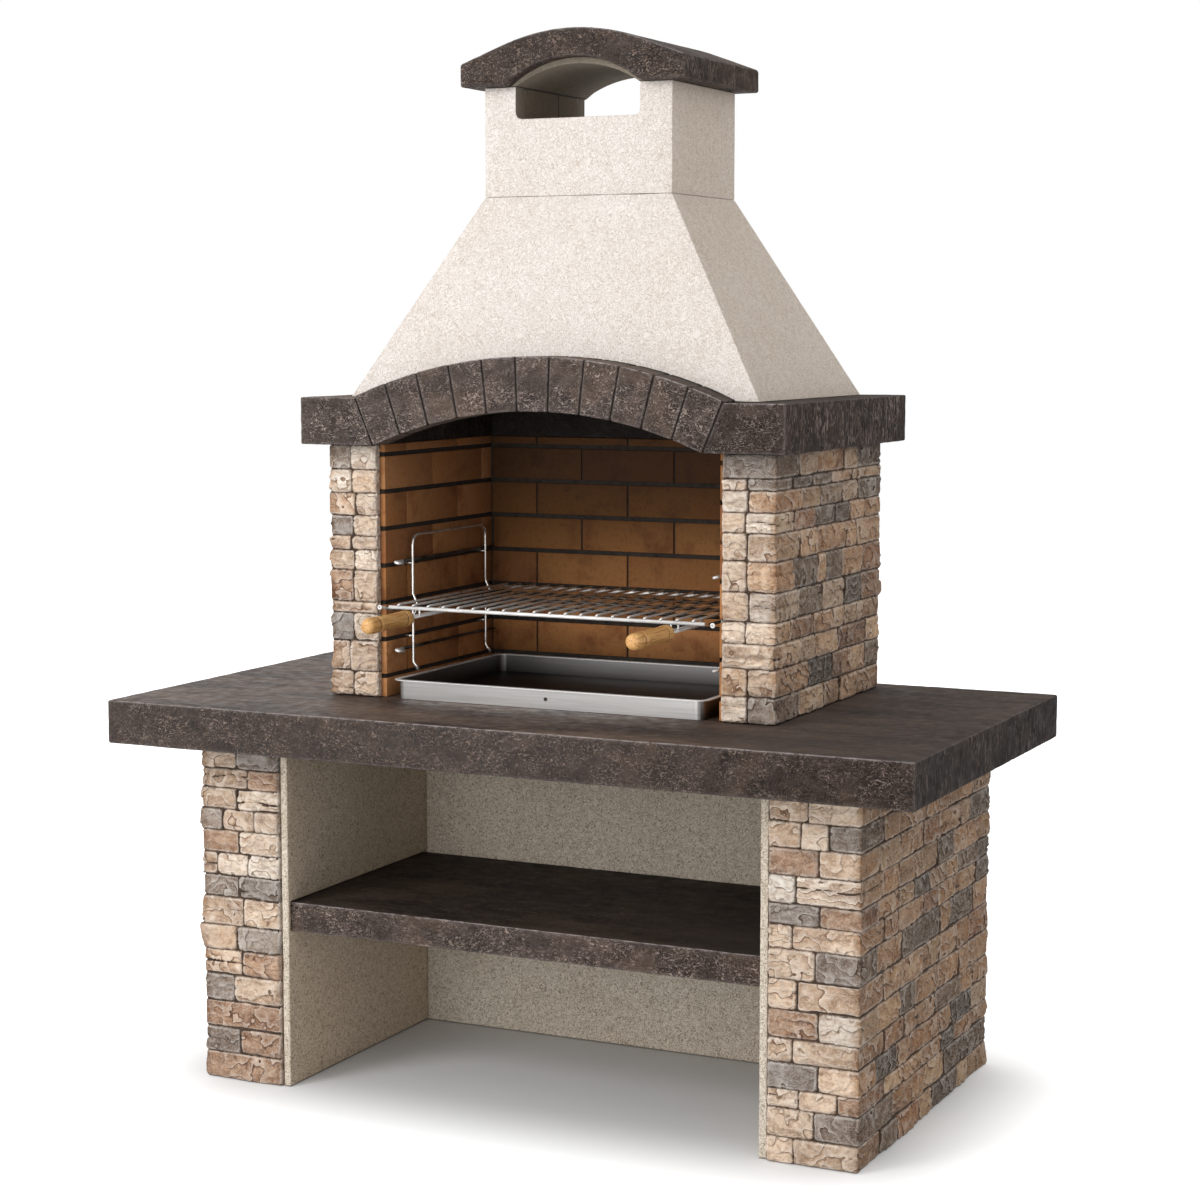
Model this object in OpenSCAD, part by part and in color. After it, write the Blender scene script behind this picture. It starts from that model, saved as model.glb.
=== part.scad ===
// Garden barbecue of cast concrete, cladding stone and firebrick.
// The origin is on the floor, under the middle of the worktop. +Z is up and -Y is the front.
// All sizes are in millimetres.

/* [Worktop and legs] */
// Height of the worktop's upper face above the floor
worktop_top = 841; // [780:1:900]
// Thickness of the worktop slab
worktop_t = 94; // [70:1:110]
// Width of the worktop
worktop_w = 1810; // [1600:5:2000]
// Depth of the worktop
worktop_d = 960; // [900:2:1040]
// Clear width of the bay between the legs
bay_w = 1088; // [1000:2:1140]
// Clear depth of the bay, from the legs' front faces to the back panel
bay_d = 588; // [520:1:640]
// Width of a leg's concrete core
leg_w = 194; // [170:1:230]
// Depth of a leg's concrete core
leg_d = 810; // [720:1:820]
// Distance from the worktop's front edge back to the face that the leg's stones are set on
leg_setback = 150; // [100:1:180]
// Thickness of the back panel between the legs
panel_t = 60; // [45:1:75]
// Width of the plain concrete strip beside the leg's front stones
strip_w = 17; // [17:1:40]
// How far the plain strip stands forward of the face that the stones are set on
strip_h = 10; // [6:1:16]

/* [Shelf] */
// Height of the shelf's upper face above the floor
shelf_top = 405; // [250:1:600]
// Thickness of the shelf slab
shelf_t = 63; // [45:1:80]
// How far each end of the shelf enters its leg
shelf_bite = 15; // [8:1:15]
// Distance from the plain strip's face back to the shelf's front edge
shelf_setback = 12; // [12:1:60]
// Clearance around the shelf's ends in their grooves
groove_gap = 1; // [0.5:0.5:1.5]

/* [Firebox] */
// Clear width between the firebox's brick side faces
firebox_w = 776; // [716:2:800]
// Depth of the firebox, from the front of the jambs' cores to the back brick face
firebox_d = 478; // [440:1:500]
// Distance from the worktop's front edge back to the front of the jambs' cores
firebox_setback = 298; // [270:1:320]
// Height of the jambs
jamb_h = 543; // [500:1:590]
// Width of a jamb's concrete core
jamb_w = 92; // [80:1:110]
// Thickness of the concrete panel behind the firebox
back_wall_t = 105; // [80:1:110]

/* [Firebricks] */
// Length of a firebrick
brick_l = 225; // [210:1:240]
// Height of a firebrick course
brick_h = 70; // [64:1:74]
// Thickness of a firebrick slip
brick_t = 14; // [12:1:22]
// Thickness of the mortar bed behind the bricks
bed_t = 4; // [3:1:8]
// Height of the mortar joint between two courses
course_joint = 9.5; // [8:0.5:12]
// Width of the upright mortar joint between two bricks
perp_joint = 4; // [3:0.5:8]
// Height of the cut bricks in the bottom course
cut_course = 40; // [30:1:50]
// How far the mortar lies behind the brick faces
joint_recess = 4; // [2:0.5:6]
// Sideways place of an upright joint in the odd courses of the back wall
back_bond = -40; // [-110:1:110]
// Distance from the front of the side walls to an upright joint in their odd courses
side_bond = 92; // [60:1:200]

/* [Cladding stone] */
// Thickness of the cladding stones
stone_t = 22; // [16:1:30]
// Usual length of a stone on the sides
stone_l = 112; // [80:2:160]
// Width of the joint between two stones
stone_joint = 3; // [2:0.5:6]
// How far a corner stone usually turns along the side
corner_return = 100; // [70:2:130]
// How far the front stones of the jambs reach in over the ends of the firebricks
stone_lap = 9; // [0:1:12]

/* [Mantel and arch] */
// Width of the mantel
mantel_w = 1110; // [1080:2:1200]
// Depth of the mantel
mantel_d = 720; // [700:2:760]
// Height of the mantel beams
mantel_t = 101; // [85:1:115]
// How far the mantel stands forward of the jambs' cores
mantel_overhang = 70; // [50:1:90]
// Depth of the arch from its face to its back
arch_depth = 72; // [60:1:80]
// Radius of the arch's underside
arch_r = 961; // [900:1:1100]
// Length of a voussoir from the underside to the top of the arch
voussoir_l = 113; // [100:1:125]
// How far the arch's springing stands in from the brick side faces
arch_lap = 11; // [4:1:16]
// Width of the joint between two voussoirs
arch_joint = 3; // [2:0.5:5]
// How far the arch's joint mortar lies behind its faces
arch_recess = 5; // [3:1:10]

/* [Hood and chimney] */
// Width of the hood at its foot
hood_w = 942; // [900:2:980]
// Depth of the hood at its foot
hood_d = 587; // [560:1:620]
// Height of the hood
hood_h = 422; // [360:1:500]
// Wall thickness of the hood and of the chimney neck, measured level
shell_t = 40; // [30:1:50]
// Width of the chimney neck
neck_w = 436; // [400:2:470]
// Depth of the chimney neck
neck_d = 333; // [300:1:360]
// Distance from the foot of the hood's front back to the neck's front
neck_setback = 139; // [120:1:160]
// Height of the chimney neck
neck_h = 229; // [180:1:300]
// Width of the smoke vent
vent_w = 288; // [260:2:310]
// Height of the smoke vent's upright sides
vent_h = 67; // [45:1:100]
// Radius of the smoke vent's lower corners
vent_r = 14; // [6:1:20]

/* [Cap] */
// Width of the cap
cap_w = 522; // [480:2:560]
// Height of the cap
cap_h = 114; // [108:1:130]
// Height of the cap's ends
cap_end = 49; // [40:1:54]
// Radius of the cap's round crown
crown_r = 466; // [440:2:520]
// Half width of the cap's round crown
crown_half = 148; // [130:1:165]
// How far the cap stands past the neck at the front and the back
cap_overhang = 33; // [20:1:45]
// Rise of the vault under the cap
vault_rise = 55; // [40:1:62]
// Thickness of the vault's lining
lining_t = 12; // [8:1:16]

/* [Grill] */
// Height of the grill's rods above the worktop
grill_h = 198; // [188:1:204]
// Diameter of the front rod, the back rod and the cross rods
rod_d = 8; // [6:0.5:8]
// Diameter of the grill's bars
bar_d = 5; // [4:0.5:6]
// Spacing of the bars
bar_pitch = 36; // [24:1:48]
// Number of cross rods between the front rod and the back rod
cross_rods = 3; // [2:1:5]
// Distance from the brick side faces to the ends of the front rod
rod_gap = 22; // [10:1:30]
// Distance from the brick side faces to the outermost bars
body_gap = 38; // [37:1:44]
// How far the front rod stands forward of the jambs' cores
grill_proud = 24; // [22:1:40]
// Distance from the back rod to the back brick face
grill_back_gap = 11; // [8:1:20]
// Distance of each handle from the middle of the grill
handle_x = 300; // [240:1:315]
// Depth of the handles' wires below the rods
handle_drop = 17; // [14:1:34]
// Diameter of the handles' wires
handle_wire_d = 5; // [4:0.5:6]
// Distance between the two wires of a handle
handle_wire_gap = 16; // [12:1:18]
// Length of a wooden grip
grip_l = 176; // [120:1:190]
// Diameter of a wooden grip
grip_d = 35; // [28:1:36]
// Distance from the front rod to the rear end of a grip
grip_gap = 34; // [8:1:40]

/* [Side frames] */
// Diameter of the side frames' wire
wire_d = 6.5; // [5:0.5:6.5]
// Distance from the brick side faces to the middle of the frame's wire
frame_gap = 18; // [16:1:19]
// Distance from the front of the jambs' cores to the frame's front upright
frame_setback = 84; // [60:1:110]
// Distance between the frame's two uprights
frame_w = 332; // [280:1:350]
// Height of the frame's top wire above the worktop
frame_top = 344; // [330:1:400]
// Height of the frame's lower ends above the worktop
frame_foot = 52; // [50:1:60]
// Radius of the frame's upper corners
frame_r = 28; // [15:1:35]
// Height of the kinks in the uprights
kink_h = 52; // [44:2:60]
// Diameter of the pegs that hold the frame in the mortar joints
peg_d = 5; // [4:0.5:5.5]
// Height of the lowest rail above the worktop
low_rail_h = 100; // [96:1:112]
// How far the middle rail stands forward of the jambs' cores
rail_proud = 32; // [30:1:45]
// Distance from the front of the jambs' cores to the front ends of the top and bottom rails
rail_setback = 17; // [0:1:60]
// Diameter of the eye at the middle rail's front end
eye_d = 11; // [9:0.5:12]

/* [Ash pan] */
// Distance from the brick side faces to the pan's rim
pan_gap = 20; // [16:1:40]
// Distance from the back brick face to the pan's rim
pan_back_gap = 4; // [3:1:30]
// How far the pan's rim stands forward of the jambs' cores
pan_proud = 20; // [0:1:40]
// Height of the pan
pan_h = 41; // [30:1:44]
// Thickness of the pan's sheet steel
pan_sheet = 1.5; // [1:0.5:2]
// Width of the pan's rim
pan_rim = 10; // [6:1:14]
// Radius of the pan's upright corners
pan_r = 18; // [10:1:30]
// Running clearance under the grill and the pan
slide_gap = 0.3; // [0.2:0.1:0.5]

/* [Hidden] */
// Relative heights of the stone courses, from the bottom up
left_leg_courses = [60, 55, 60, 58, 55, 54, 62, 49, 48, 50, 46, 46, 42, 60];
right_leg_courses = [52, 56, 38, 50, 46, 56, 58, 58, 46, 40, 54, 52, 50, 62];
left_jamb_courses = [55, 66, 60, 24, 68, 44, 30, 44, 48, 50, 54];
right_jamb_courses = [55, 57, 50, 44, 60, 62, 57, 41, 44, 24, 50];
// Share of the front that the corner stone takes, from the bottom up
left_leg_cuts = [1, 0.46, 1, 0.4, 0.5, 0.44, 0.53, 0.47, 0.2, 0.48, 0.28, 0.46, 0.6, 0.46];
right_leg_cuts = [0.7, 0.49, 0.25, 0.45, 0.72, 0.45, 0.68, 0.49, 0.73, 0.45, 0.7, 0.46, 0.36, 0.57];
left_jamb_cuts = [0.48, 0.42, 0.5, 1, 0.5, 0.52, 0.46, 0.5, 0.55, 0.48, 0.46];
right_jamb_cuts = [0.52, 0.52, 1, 0.55, 0.5, 0.54, 0.54, 0.57, 0.52, 0.54, 1];

wire_r = wire_d / 2;
rod_r = rod_d / 2;
bar_r = bar_d / 2;
hwire_r = handle_wire_d / 2;

// Places along the depth
front_y = -worktop_d / 2;
leg_front = front_y + leg_setback;
panel_front = leg_front + bay_d;
strip_front = leg_front - strip_h;
shelf_front = strip_front + shelf_setback;
jamb_front = front_y + firebox_setback;
brick_y = jamb_front + firebox_d;
wall_y = brick_y + brick_t + bed_t;
wall_back = wall_y + back_wall_t;
mantel_front = jamb_front - mantel_overhang;
mantel_back = mantel_front + mantel_d;
arch_back = mantel_front + arch_depth;
hood_front = arch_back;
hood_back = hood_front + hood_d;
neck_front = hood_front + neck_setback;
neck_back = neck_front + neck_d;

// Places across the width
leg_in = bay_w / 2;
leg_out = leg_in + leg_w;
brick_x = firebox_w / 2;
jamb_in = brick_x + brick_t + bed_t;
jamb_out = jamb_in + jamb_w;
spring_x = brick_x - arch_lap;

// Heights
leg_top = worktop_top - worktop_t;
mantel_z = worktop_top + jamb_h;
hood_z = mantel_z + mantel_t;
neck_z = hood_z + hood_h;
cap_z = neck_z + neck_h;

// Arch
arch_half = asin(spring_x / arch_r);
arch_cz = mantel_z - arch_r * cos(arch_half);
voussoirs = 11;
arch_step = 2 * arch_half / voussoirs;
arch_top = arch_cz + arch_r + voussoir_l;
hood_lean = neck_setback / hood_h;

// Cap and vault
vault_half = vent_w / 2 + lining_t;
vault_r = (vault_half * vault_half + vault_rise * vault_rise) / (2 * vault_rise);
soffit_rise = vault_rise - lining_t;
soffit_r = (vent_w * vent_w / 4 + soffit_rise * soffit_rise) / (2 * soffit_rise);
crown_z = cap_h - crown_r + sqrt(crown_r * crown_r - crown_half * crown_half);

// Firebricks
course_pitch = brick_h + course_joint;
brick_pitch = brick_l + perp_joint;
brick_courses = ceil((jamb_h - cut_course) / course_pitch);

// Grill
grill_z = worktop_top + grill_h;
grill_front = jamb_front - grill_proud;
grill_back = brick_y - grill_back_gap;
grill_half = brick_x - body_gap;
bars = floor(2 * grill_half / bar_pitch);
bar_first = -bars * bar_pitch / 2;
cross_pitch = (grill_back - grill_front) / (cross_rods + 1);
cross_half = grill_half + bar_r + 1;
handle_z = grill_z - handle_drop;
grip_back = grill_front - grip_gap;

// Side frames
frame_x = brick_x - frame_gap;
frame_front = jamb_front + frame_setback;
frame_back = frame_front + frame_w;
mid_rail_x = grill_half + 1;
mid_rail_z = grill_z - rod_r - slide_gap - wire_r;
kink_x = mid_rail_x + wire_d;
side_rail_x = frame_x + wire_d;
rail_front = jamb_front - rail_proud;
side_rail_front = jamb_front + rail_setback;
eye_x = brick_x - 2;
rail_back = grill_back;
low_peg_z = worktop_top + cut_course + course_joint / 2 + course_pitch;
high_peg_z = low_peg_z + 2 * course_pitch;

// Ash pan
pan_half = brick_x - pan_gap;
pan_front = jamb_front - pan_proud;
pan_back = brick_y - pan_back_gap;
pan_z = worktop_top + slide_gap;

// The four clad walls: inner edge and outer face of the core, front face, back end,
// foot, height, courses, corner cuts and a number that varies the stones
left_leg_wall = [leg_in + strip_w, leg_out, leg_front, leg_front + leg_d, 0, leg_top,
    left_leg_courses, left_leg_cuts, 3];
right_leg_wall = [leg_in + strip_w, leg_out, leg_front, leg_front + leg_d, 0, leg_top,
    right_leg_courses, right_leg_cuts, 331];
left_jamb_wall = [jamb_in - stone_lap, jamb_out, jamb_front, wall_back, worktop_top, jamb_h,
    left_jamb_courses, left_jamb_cuts, 617];
right_jamb_wall = [jamb_in - stone_lap, jamb_out, jamb_front, wall_back, worktop_top, jamb_h,
    right_jamb_courses, right_jamb_cuts, 907];

stone_tan = "#cfae82";
stone_cream = "#dcc5a0";
stone_brown = "#b58a60";
concrete = "#d3cbb8";
dark_stone = "#5a4c44";
brick_red = "#a8693c";
mortar_dark = "#45403a";
bright_wire = "#d9dadb";
sheet = "#9a9da0";
beech = "#dba765";

// A repeatable share between 0 and 1 for the number k
function vary(k) = let(s = sin(k * 73.1 + 11) * 971.3) s - floor(s);
function total(v, n) = n <= 0 ? 0 : v[n - 1] + total(v, n - 1);

// Foot and height of a stone course, and the sizes of its stones
function course_z(w, i) = w[4] + w[5] * total(w[6], i) / total(w[6], len(w[6])) + stone_joint / 2;
function course_t(w, i) = course_z(w, i + 1) - course_z(w, i) - stone_joint;
function proud(w, k) = stone_t * (1 - 0.14 * vary(w[8] + k));
function face_w(w) = w[1] + stone_t - w[0];
function cut_x(w, i) = w[7][i] > 0.99 ? w[0] + stone_joint : w[1] + stone_t - w[7][i] * face_w(w);
function turn(w, i) = corner_return * (i % 2 == 0 ? 1.2 : 0.8) * (0.9 + 0.2 * vary(w[8] + 7 * i));
function side_n(w, i) = round((w[3] - w[2] - turn(w, i)) / stone_l);
function side_cut(w, i, j, n) =
    (j + (j > 0 && j < n ? 0.6 * (vary(w[8] + 29 * i + 5 * j) - 0.5) : 0)) / n;

// Stones that turn the corner between the front and the side
module corner_stones(w) {
    for (i = [0 : len(w[6]) - 1])
        difference() {
            translate([cut_x(w, i), w[2] - proud(w, i), course_z(w, i)])
                cube([w[1] + proud(w, i + 50) - cut_x(w, i), proud(w, i) + turn(w, i), course_t(w, i)]);
            translate([w[0] - 1, w[2], course_z(w, i) - 1])
                cube([w[1] - w[0] + 1, turn(w, i) + 1, course_t(w, i) + 2]);
        }
}

// Stones that fill the front between its inner edge and the corner stones
module front_stones(w) {
    for (i = [0 : len(w[6]) - 1])
        if (w[7][i] <= 0.99) {
            rest = cut_x(w, i) - w[0] - stone_joint;
            n = rest > 1.1 * stone_l ? 2 : 1;
            for (j = [0 : n - 1]) {
                a = j == 0 ? 0 : 0.42 + 0.16 * vary(w[8] + i);
                b = j == n - 1 ? 1 : 0.42 + 0.16 * vary(w[8] + i);
                translate([w[0] + stone_joint + rest * a, w[2] - proud(w, i + 100 + j), course_z(w, i)])
                    cube([rest * (b - a) - stone_joint, proud(w, i + 100 + j), course_t(w, i)]);
            }
        }
}

// Stones along the side, behind the corner stones
module side_stones(w) {
    for (i = [0 : len(w[6]) - 1]) {
        start = w[2] + turn(w, i) + stone_joint;
        run = w[3] - start + stone_joint;
        n = side_n(w, i);
        for (j = [0 : n - 1])
            translate([w[1], start + run * side_cut(w, i, j, n), course_z(w, i)])
                cube([proud(w, 13 * i + j), run * (side_cut(w, i, j + 1, n) - side_cut(w, i, j, n))
                    - stone_joint, course_t(w, i)]);
    }
}

// A right-hand leg: core with a plain front strip and a groove for the shelf
module leg() {
    difference() {
        union() {
            translate([leg_in, leg_front, 0]) cube([leg_w, leg_d, leg_top]);
            translate([leg_in, strip_front, 0]) cube([strip_w, strip_h, leg_top]);
        }
        translate([leg_in - 1, shelf_front - groove_gap, shelf_top - shelf_t])
            cube([1 + shelf_bite + groove_gap, panel_front - shelf_front + groove_gap,
                shelf_t + groove_gap]);
    }
}

// A right-hand jamb core
module jamb() {
    translate([jamb_in, jamb_front, worktop_top]) cube([jamb_w, wall_back - jamb_front, jamb_h]);
}

// Foot and height of brick course k, the lowest being 0
function brick_z(k) = k == 0 ? worktop_top : worktop_top + cut_course + course_joint + (k - 1) * course_pitch;
function brick_top(k) = min(mantel_z, k == 0 ? worktop_top + cut_course : brick_z(k) + brick_h);

// One wall of bricks from x = a to x = b, faces at y = 0, with an upright joint at x = bond
module brick_wall(a, b, bond) {
    for (k = [0 : brick_courses])
        if (brick_top(k) - brick_z(k) > 5) {
            first = bond + (k % 2 == 0 ? -brick_pitch / 2 : 0);
            lo = floor((a - first) / brick_pitch);
            hi = floor((b - first) / brick_pitch);
            for (n = [lo : hi]) {
                x0 = max(a, first + n * brick_pitch + perp_joint / 2);
                x1 = min(b, first + (n + 1) * brick_pitch - perp_joint / 2);
                if (x1 - x0 > 5)
                    translate([x0, 0, brick_z(k)]) cube([x1 - x0, brick_t, brick_top(k) - brick_z(k)]);
            }
        }
}

module back_bricks() {
    translate([0, brick_y, 0]) brick_wall(perp_joint - brick_x, brick_x - perp_joint, back_bond);
}

// Right-hand side wall of bricks, turned so that the faces look inward
module side_bricks() {
    translate([brick_x, 0, 0]) mirror([1, 0, 0]) rotate([0, 0, 90])
        brick_wall(jamb_front, brick_y + brick_t, jamb_front + side_bond);
}

module side_mortar() {
    difference() {
        translate([brick_x + joint_recess, jamb_front + joint_recess, worktop_top])
            cube([brick_t + bed_t - joint_recess, wall_y - jamb_front - joint_recess, jamb_h]);
        side_bricks();
    }
}

// Sideways place of the arch's springing line at height z
function skew_x(z) = (z - arch_cz) * tan(arch_half) + arch_joint / 2 / cos(arch_half);

// A right-hand mantel beam with the skewback that the arch springs from
module mantel_side() {
    translate([brick_x, arch_back, mantel_z])
        cube([mantel_w / 2 - brick_x, mantel_back - arch_back, mantel_t]);
    translate([0, arch_back, 0]) rotate([90, 0, 0]) linear_extrude(arch_depth)
        polygon([[skew_x(mantel_z), mantel_z], [mantel_w / 2, mantel_z],
            [mantel_w / 2, hood_z], [skew_x(hood_z), hood_z]]);
}

// Outline of the arch seen from the side, with its back on the hood's slope
module arch_outline() {
    rotate([90, 0, 90]) linear_extrude(2 * brick_x + 200, center = true)
        polygon([[mantel_front, mantel_z - 10], [arch_back, mantel_z - 10], [arch_back, hood_z],
            [arch_back + hood_lean * (arch_top + 10 - hood_z), arch_top + 10],
            [mantel_front, arch_top + 10]]);
}

// Arch stone k, counted from the left
module voussoir(k) {
    apex = arch_joint / 2 / sin(arch_step / 2);
    reach = arch_r + voussoir_l + 40;
    color(dark_stone) intersection() {
        arch_outline();
        translate([0, arch_back + 60, arch_cz]) rotate([0, (k - (voussoirs + 1) / 2) * arch_step, 0])
            rotate([90, 0, 0]) linear_extrude(arch_depth + 80) intersection() {
                difference() {
                    circle(arch_r + voussoir_l, $fn = 180);
                    circle(arch_r, $fn = 180);
                }
                polygon([[0, apex], [reach * sin(arch_step / 2), apex + reach * cos(arch_step / 2)],
                    [-reach * sin(arch_step / 2), apex + reach * cos(arch_step / 2)]]);
            }
    }
}

// The hood's outline seen from the front, run through its depth. It is drawn in by inset and
// lengthened by over at both ends
module front_outline(inset, over) {
    lean_x = (hood_w - neck_w) / 2 / hood_h;
    translate([0, hood_back + 10, 0]) rotate([90, 0, 0]) linear_extrude(hood_d + 20)
        polygon([[-hood_w / 2 + inset - lean_x * over, hood_z - over],
            [hood_w / 2 - inset + lean_x * over, hood_z - over],
            [neck_w / 2 - inset - lean_x * over, neck_z + over],
            [-neck_w / 2 + inset + lean_x * over, neck_z + over]]);
}

// The hood's outline seen from the side, run through its width
module side_outline(inset, over) {
    lean_b = (hood_back - neck_back) / hood_h;
    rotate([90, 0, 90]) linear_extrude(hood_w + 20, center = true)
        polygon([[hood_front + inset - hood_lean * over, hood_z - over],
            [hood_back - inset + lean_b * over, hood_z - over],
            [neck_back - inset - lean_b * over, neck_z + over],
            [neck_front + inset + hood_lean * over, neck_z + over]]);
}

module hood_body() {
    intersection() {
        front_outline(0, 0);
        side_outline(0, 0);
    }
}

// The front and back walls of the hood run its whole width, from y = a to y = b
module hood_long_wall(a, b) {
    difference() {
        hood_body();
        side_outline(shell_t, 2);
        translate([-hood_w, a - hood_d, hood_z - 5]) cube([2 * hood_w, hood_d, hood_h + 10]);
        translate([-hood_w, b, hood_z - 5]) cube([2 * hood_w, hood_d, hood_h + 10]);
    }
}

// The right-hand wall of the hood stands between the front and back walls
module hood_short_wall() {
    difference() {
        intersection() {
            hood_body();
            side_outline(shell_t, 2);
        }
        front_outline(shell_t, 2);
        translate([-hood_w, hood_front - 10, hood_z - 5]) cube([hood_w, hood_d + 20, hood_h + 10]);
    }
}

// A straight length of wire from point a to point b
module rod(a, b, r) {
    d = b - a;
    translate(a) rotate([0, acos(d[2] / norm(d)), atan2(d[1], d[0])]) cylinder(h = norm(d), r = r, $fn = 32);
}

// A wire of radius r along the points p, rounded at each corner
module wire(p, r) {
    for (i = [0 : len(p) - 2]) rod(p[i], p[i + 1], r);
    for (i = [1 : len(p) - 2]) translate(p[i]) sphere(1.05 * r, $fn = 32);
}

// A right-hand upright of the side frame at depth y, with the kink that carries the middle rail
module upright(y) {
    top = worktop_top + frame_top - frame_r;
    foot = worktop_top + frame_foot;
    wire([[frame_x, y, top], [frame_x, y, mid_rail_z + kink_h / 2], [kink_x, y, mid_rail_z],
        [frame_x, y, mid_rail_z - kink_h / 2], [frame_x, y, foot + 15], [kink_x, y, foot]], wire_r);
    for (z = [low_peg_z, high_peg_z])
        rod([frame_x, y, z], [brick_x + joint_recess, y, z], peg_d / 2);
}

module support_frame() {
    top = worktop_top + frame_top;
    upright(frame_front);
    upright(frame_back);
    rod([frame_x, frame_front + frame_r, top], [frame_x, frame_back - frame_r, top], wire_r);
    for (y = [frame_front, frame_back])
        translate([frame_x, y, top - frame_r]) sphere(1.05 * wire_r, $fn = 32);
    for (y = [frame_front + frame_r, frame_back - frame_r])
        translate([frame_x, y, top]) sphere(1.05 * wire_r, $fn = 32);
    translate([frame_x, frame_back - frame_r, top - frame_r]) rotate([90, 0, 90])
        rotate_extrude(angle = 90, $fn = 64) translate([frame_r, 0]) circle(wire_r, $fn = 32);
    translate([frame_x, frame_front + frame_r, top - frame_r]) rotate([90, 0, 90]) rotate([0, 0, 90])
        rotate_extrude(angle = 90, $fn = 64) translate([frame_r, 0]) circle(wire_r, $fn = 32);
}

// The three rails of the right-hand side. The middle one turns out past the rod's end, up to an eye.
module support_rails() {
    for (z = [worktop_top + low_rail_h, high_peg_z + wire_d + slide_gap])
        rod([side_rail_x, side_rail_front, z], [side_rail_x, rail_back, z], wire_r);
    wire([[mid_rail_x, rail_back, mid_rail_z], [mid_rail_x, rail_front + 70, mid_rail_z],
        [eye_x - 12, rail_front + 32, mid_rail_z], [eye_x, rail_front + 8, grill_z - 1],
        [eye_x, rail_front + 2, grill_z - 1]], wire_r);
    translate([eye_x, rail_front + 7, grill_z - 1]) rotate([90, 0, 0]) difference() {
        cylinder(h = 7, r = eye_d / 2, $fn = 32);
        translate([0, 0, 5]) cylinder(h = 3, r = eye_d / 4, $fn = 32);
    }
}

module grill_rods() {
    translate([rod_gap - brick_x, grill_front, grill_z]) rotate([0, 90, 0])
        cylinder(h = 2 * (brick_x - rod_gap), r = rod_r, $fn = 32);
    for (k = [1 : cross_rods + 1])
        translate([-cross_half, grill_front + k * cross_pitch, grill_z]) rotate([0, 90, 0])
            cylinder(h = 2 * cross_half, r = rod_r, $fn = 32);
}

// The two wires of a handle: out of the grip, hooked to the front rod, then up to the first cross rod
module handle_wires() {
    back = grill_front + cross_pitch;
    seat = grill_z - rod_r - hwire_r;
    for (s = [-1, 1]) {
        x = handle_x + s * handle_wire_gap / 2;
        wire([[x, grip_back - 40, handle_z], [x, back - 20, handle_z], [x, back, seat]], hwire_r);
        rod([x, grill_front, handle_z], [x, grill_front, grill_z - rod_r], hwire_r - 0.5);
    }
}

// A turned grip with a groove near each end and a rounded nose
module grip() {
    nose = grip_d * 0.3;
    translate([handle_x, grip_back, handle_z]) difference() {
        rotate([90, 0, 0]) rotate_extrude($fn = 64) difference() {
            union() {
                square([grip_d / 2 - 2, 3]);
                translate([0, 2]) square([grip_d / 2, 24]);
                translate([0, 26]) square([grip_d / 2 - 1.5, grip_l - 56]);
                translate([0, grip_l - 34]) square([grip_d / 2 - 0.5, 34 - nose]);
                translate([0, grip_l - nose]) square([grip_d / 2 - 0.5 - nose, nose]);
                intersection() {
                    translate([grip_d / 2 - 0.5 - nose, grip_l - nose]) circle(nose, $fn = 48);
                    translate([0, grip_l - nose]) square([grip_d, nose]);
                }
            }
            for (z = [22, grip_l - 34]) translate([grip_d / 2 + 0.6, z]) circle(2, $fn = 24);
        }
        for (s = [-1, 1]) translate([s * handle_wire_gap / 2, 1, 0]) rotate([90, 0, 0])
            cylinder(h = 42, r = hwire_r + 0.1, $fn = 32);
    }
}

// A rectangle with round corners, centred on the depth c
module round_plan(hx, y0, y1, r) {
    translate([-hx + r, y0]) square([2 * (hx - r), y1 - y0]);
    translate([-hx, y0 + r]) square([2 * hx, y1 - y0 - 2 * r]);
    for (x = [-hx + r, hx - r])
        for (y = [y0 + r, y1 - r]) translate([x, y]) circle(r, $fn = 64);
}

module base_left_leg() { color(concrete) mirror([1, 0, 0]) leg(); }
module base_right_leg() { color(concrete) leg(); }
module base_back_panel() {
    color(concrete) translate([-leg_in, panel_front, 0]) cube([bay_w, panel_t, leg_top]);
}
module shelf() {
    color(dark_stone) translate([-leg_in - shelf_bite, shelf_front, shelf_top - shelf_t])
        cube([bay_w + 2 * shelf_bite, panel_front - shelf_front, shelf_t]);
}
module worktop() {
    color(dark_stone) translate([-worktop_w / 2, front_y, leg_top]) cube([worktop_w, worktop_d, worktop_t]);
}

module left_leg_corner_stones() { color(stone_tan) mirror([1, 0, 0]) corner_stones(left_leg_wall); }
module left_leg_front_stones() { color(stone_cream) mirror([1, 0, 0]) front_stones(left_leg_wall); }
module left_leg_side_stones() { color(stone_brown) mirror([1, 0, 0]) side_stones(left_leg_wall); }
module right_leg_corner_stones() { color(stone_tan) corner_stones(right_leg_wall); }
module right_leg_front_stones() { color(stone_cream) front_stones(right_leg_wall); }
module right_leg_side_stones() { color(stone_brown) side_stones(right_leg_wall); }

module left_jamb() { color(concrete) mirror([1, 0, 0]) jamb(); }
module right_jamb() { color(concrete) jamb(); }
module firebox_back_panel() {
    color(concrete) translate([-jamb_in, wall_y, worktop_top]) cube([2 * jamb_in, back_wall_t, jamb_h]);
}

module left_jamb_corner_stones() { color(stone_tan) mirror([1, 0, 0]) corner_stones(left_jamb_wall); }
module left_jamb_front_stones() { color(stone_cream) mirror([1, 0, 0]) front_stones(left_jamb_wall); }
module left_jamb_side_stones() { color(stone_brown) mirror([1, 0, 0]) side_stones(left_jamb_wall); }
module right_jamb_corner_stones() { color(stone_tan) corner_stones(right_jamb_wall); }
module right_jamb_front_stones() { color(stone_cream) front_stones(right_jamb_wall); }
module right_jamb_side_stones() { color(stone_brown) side_stones(right_jamb_wall); }

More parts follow.
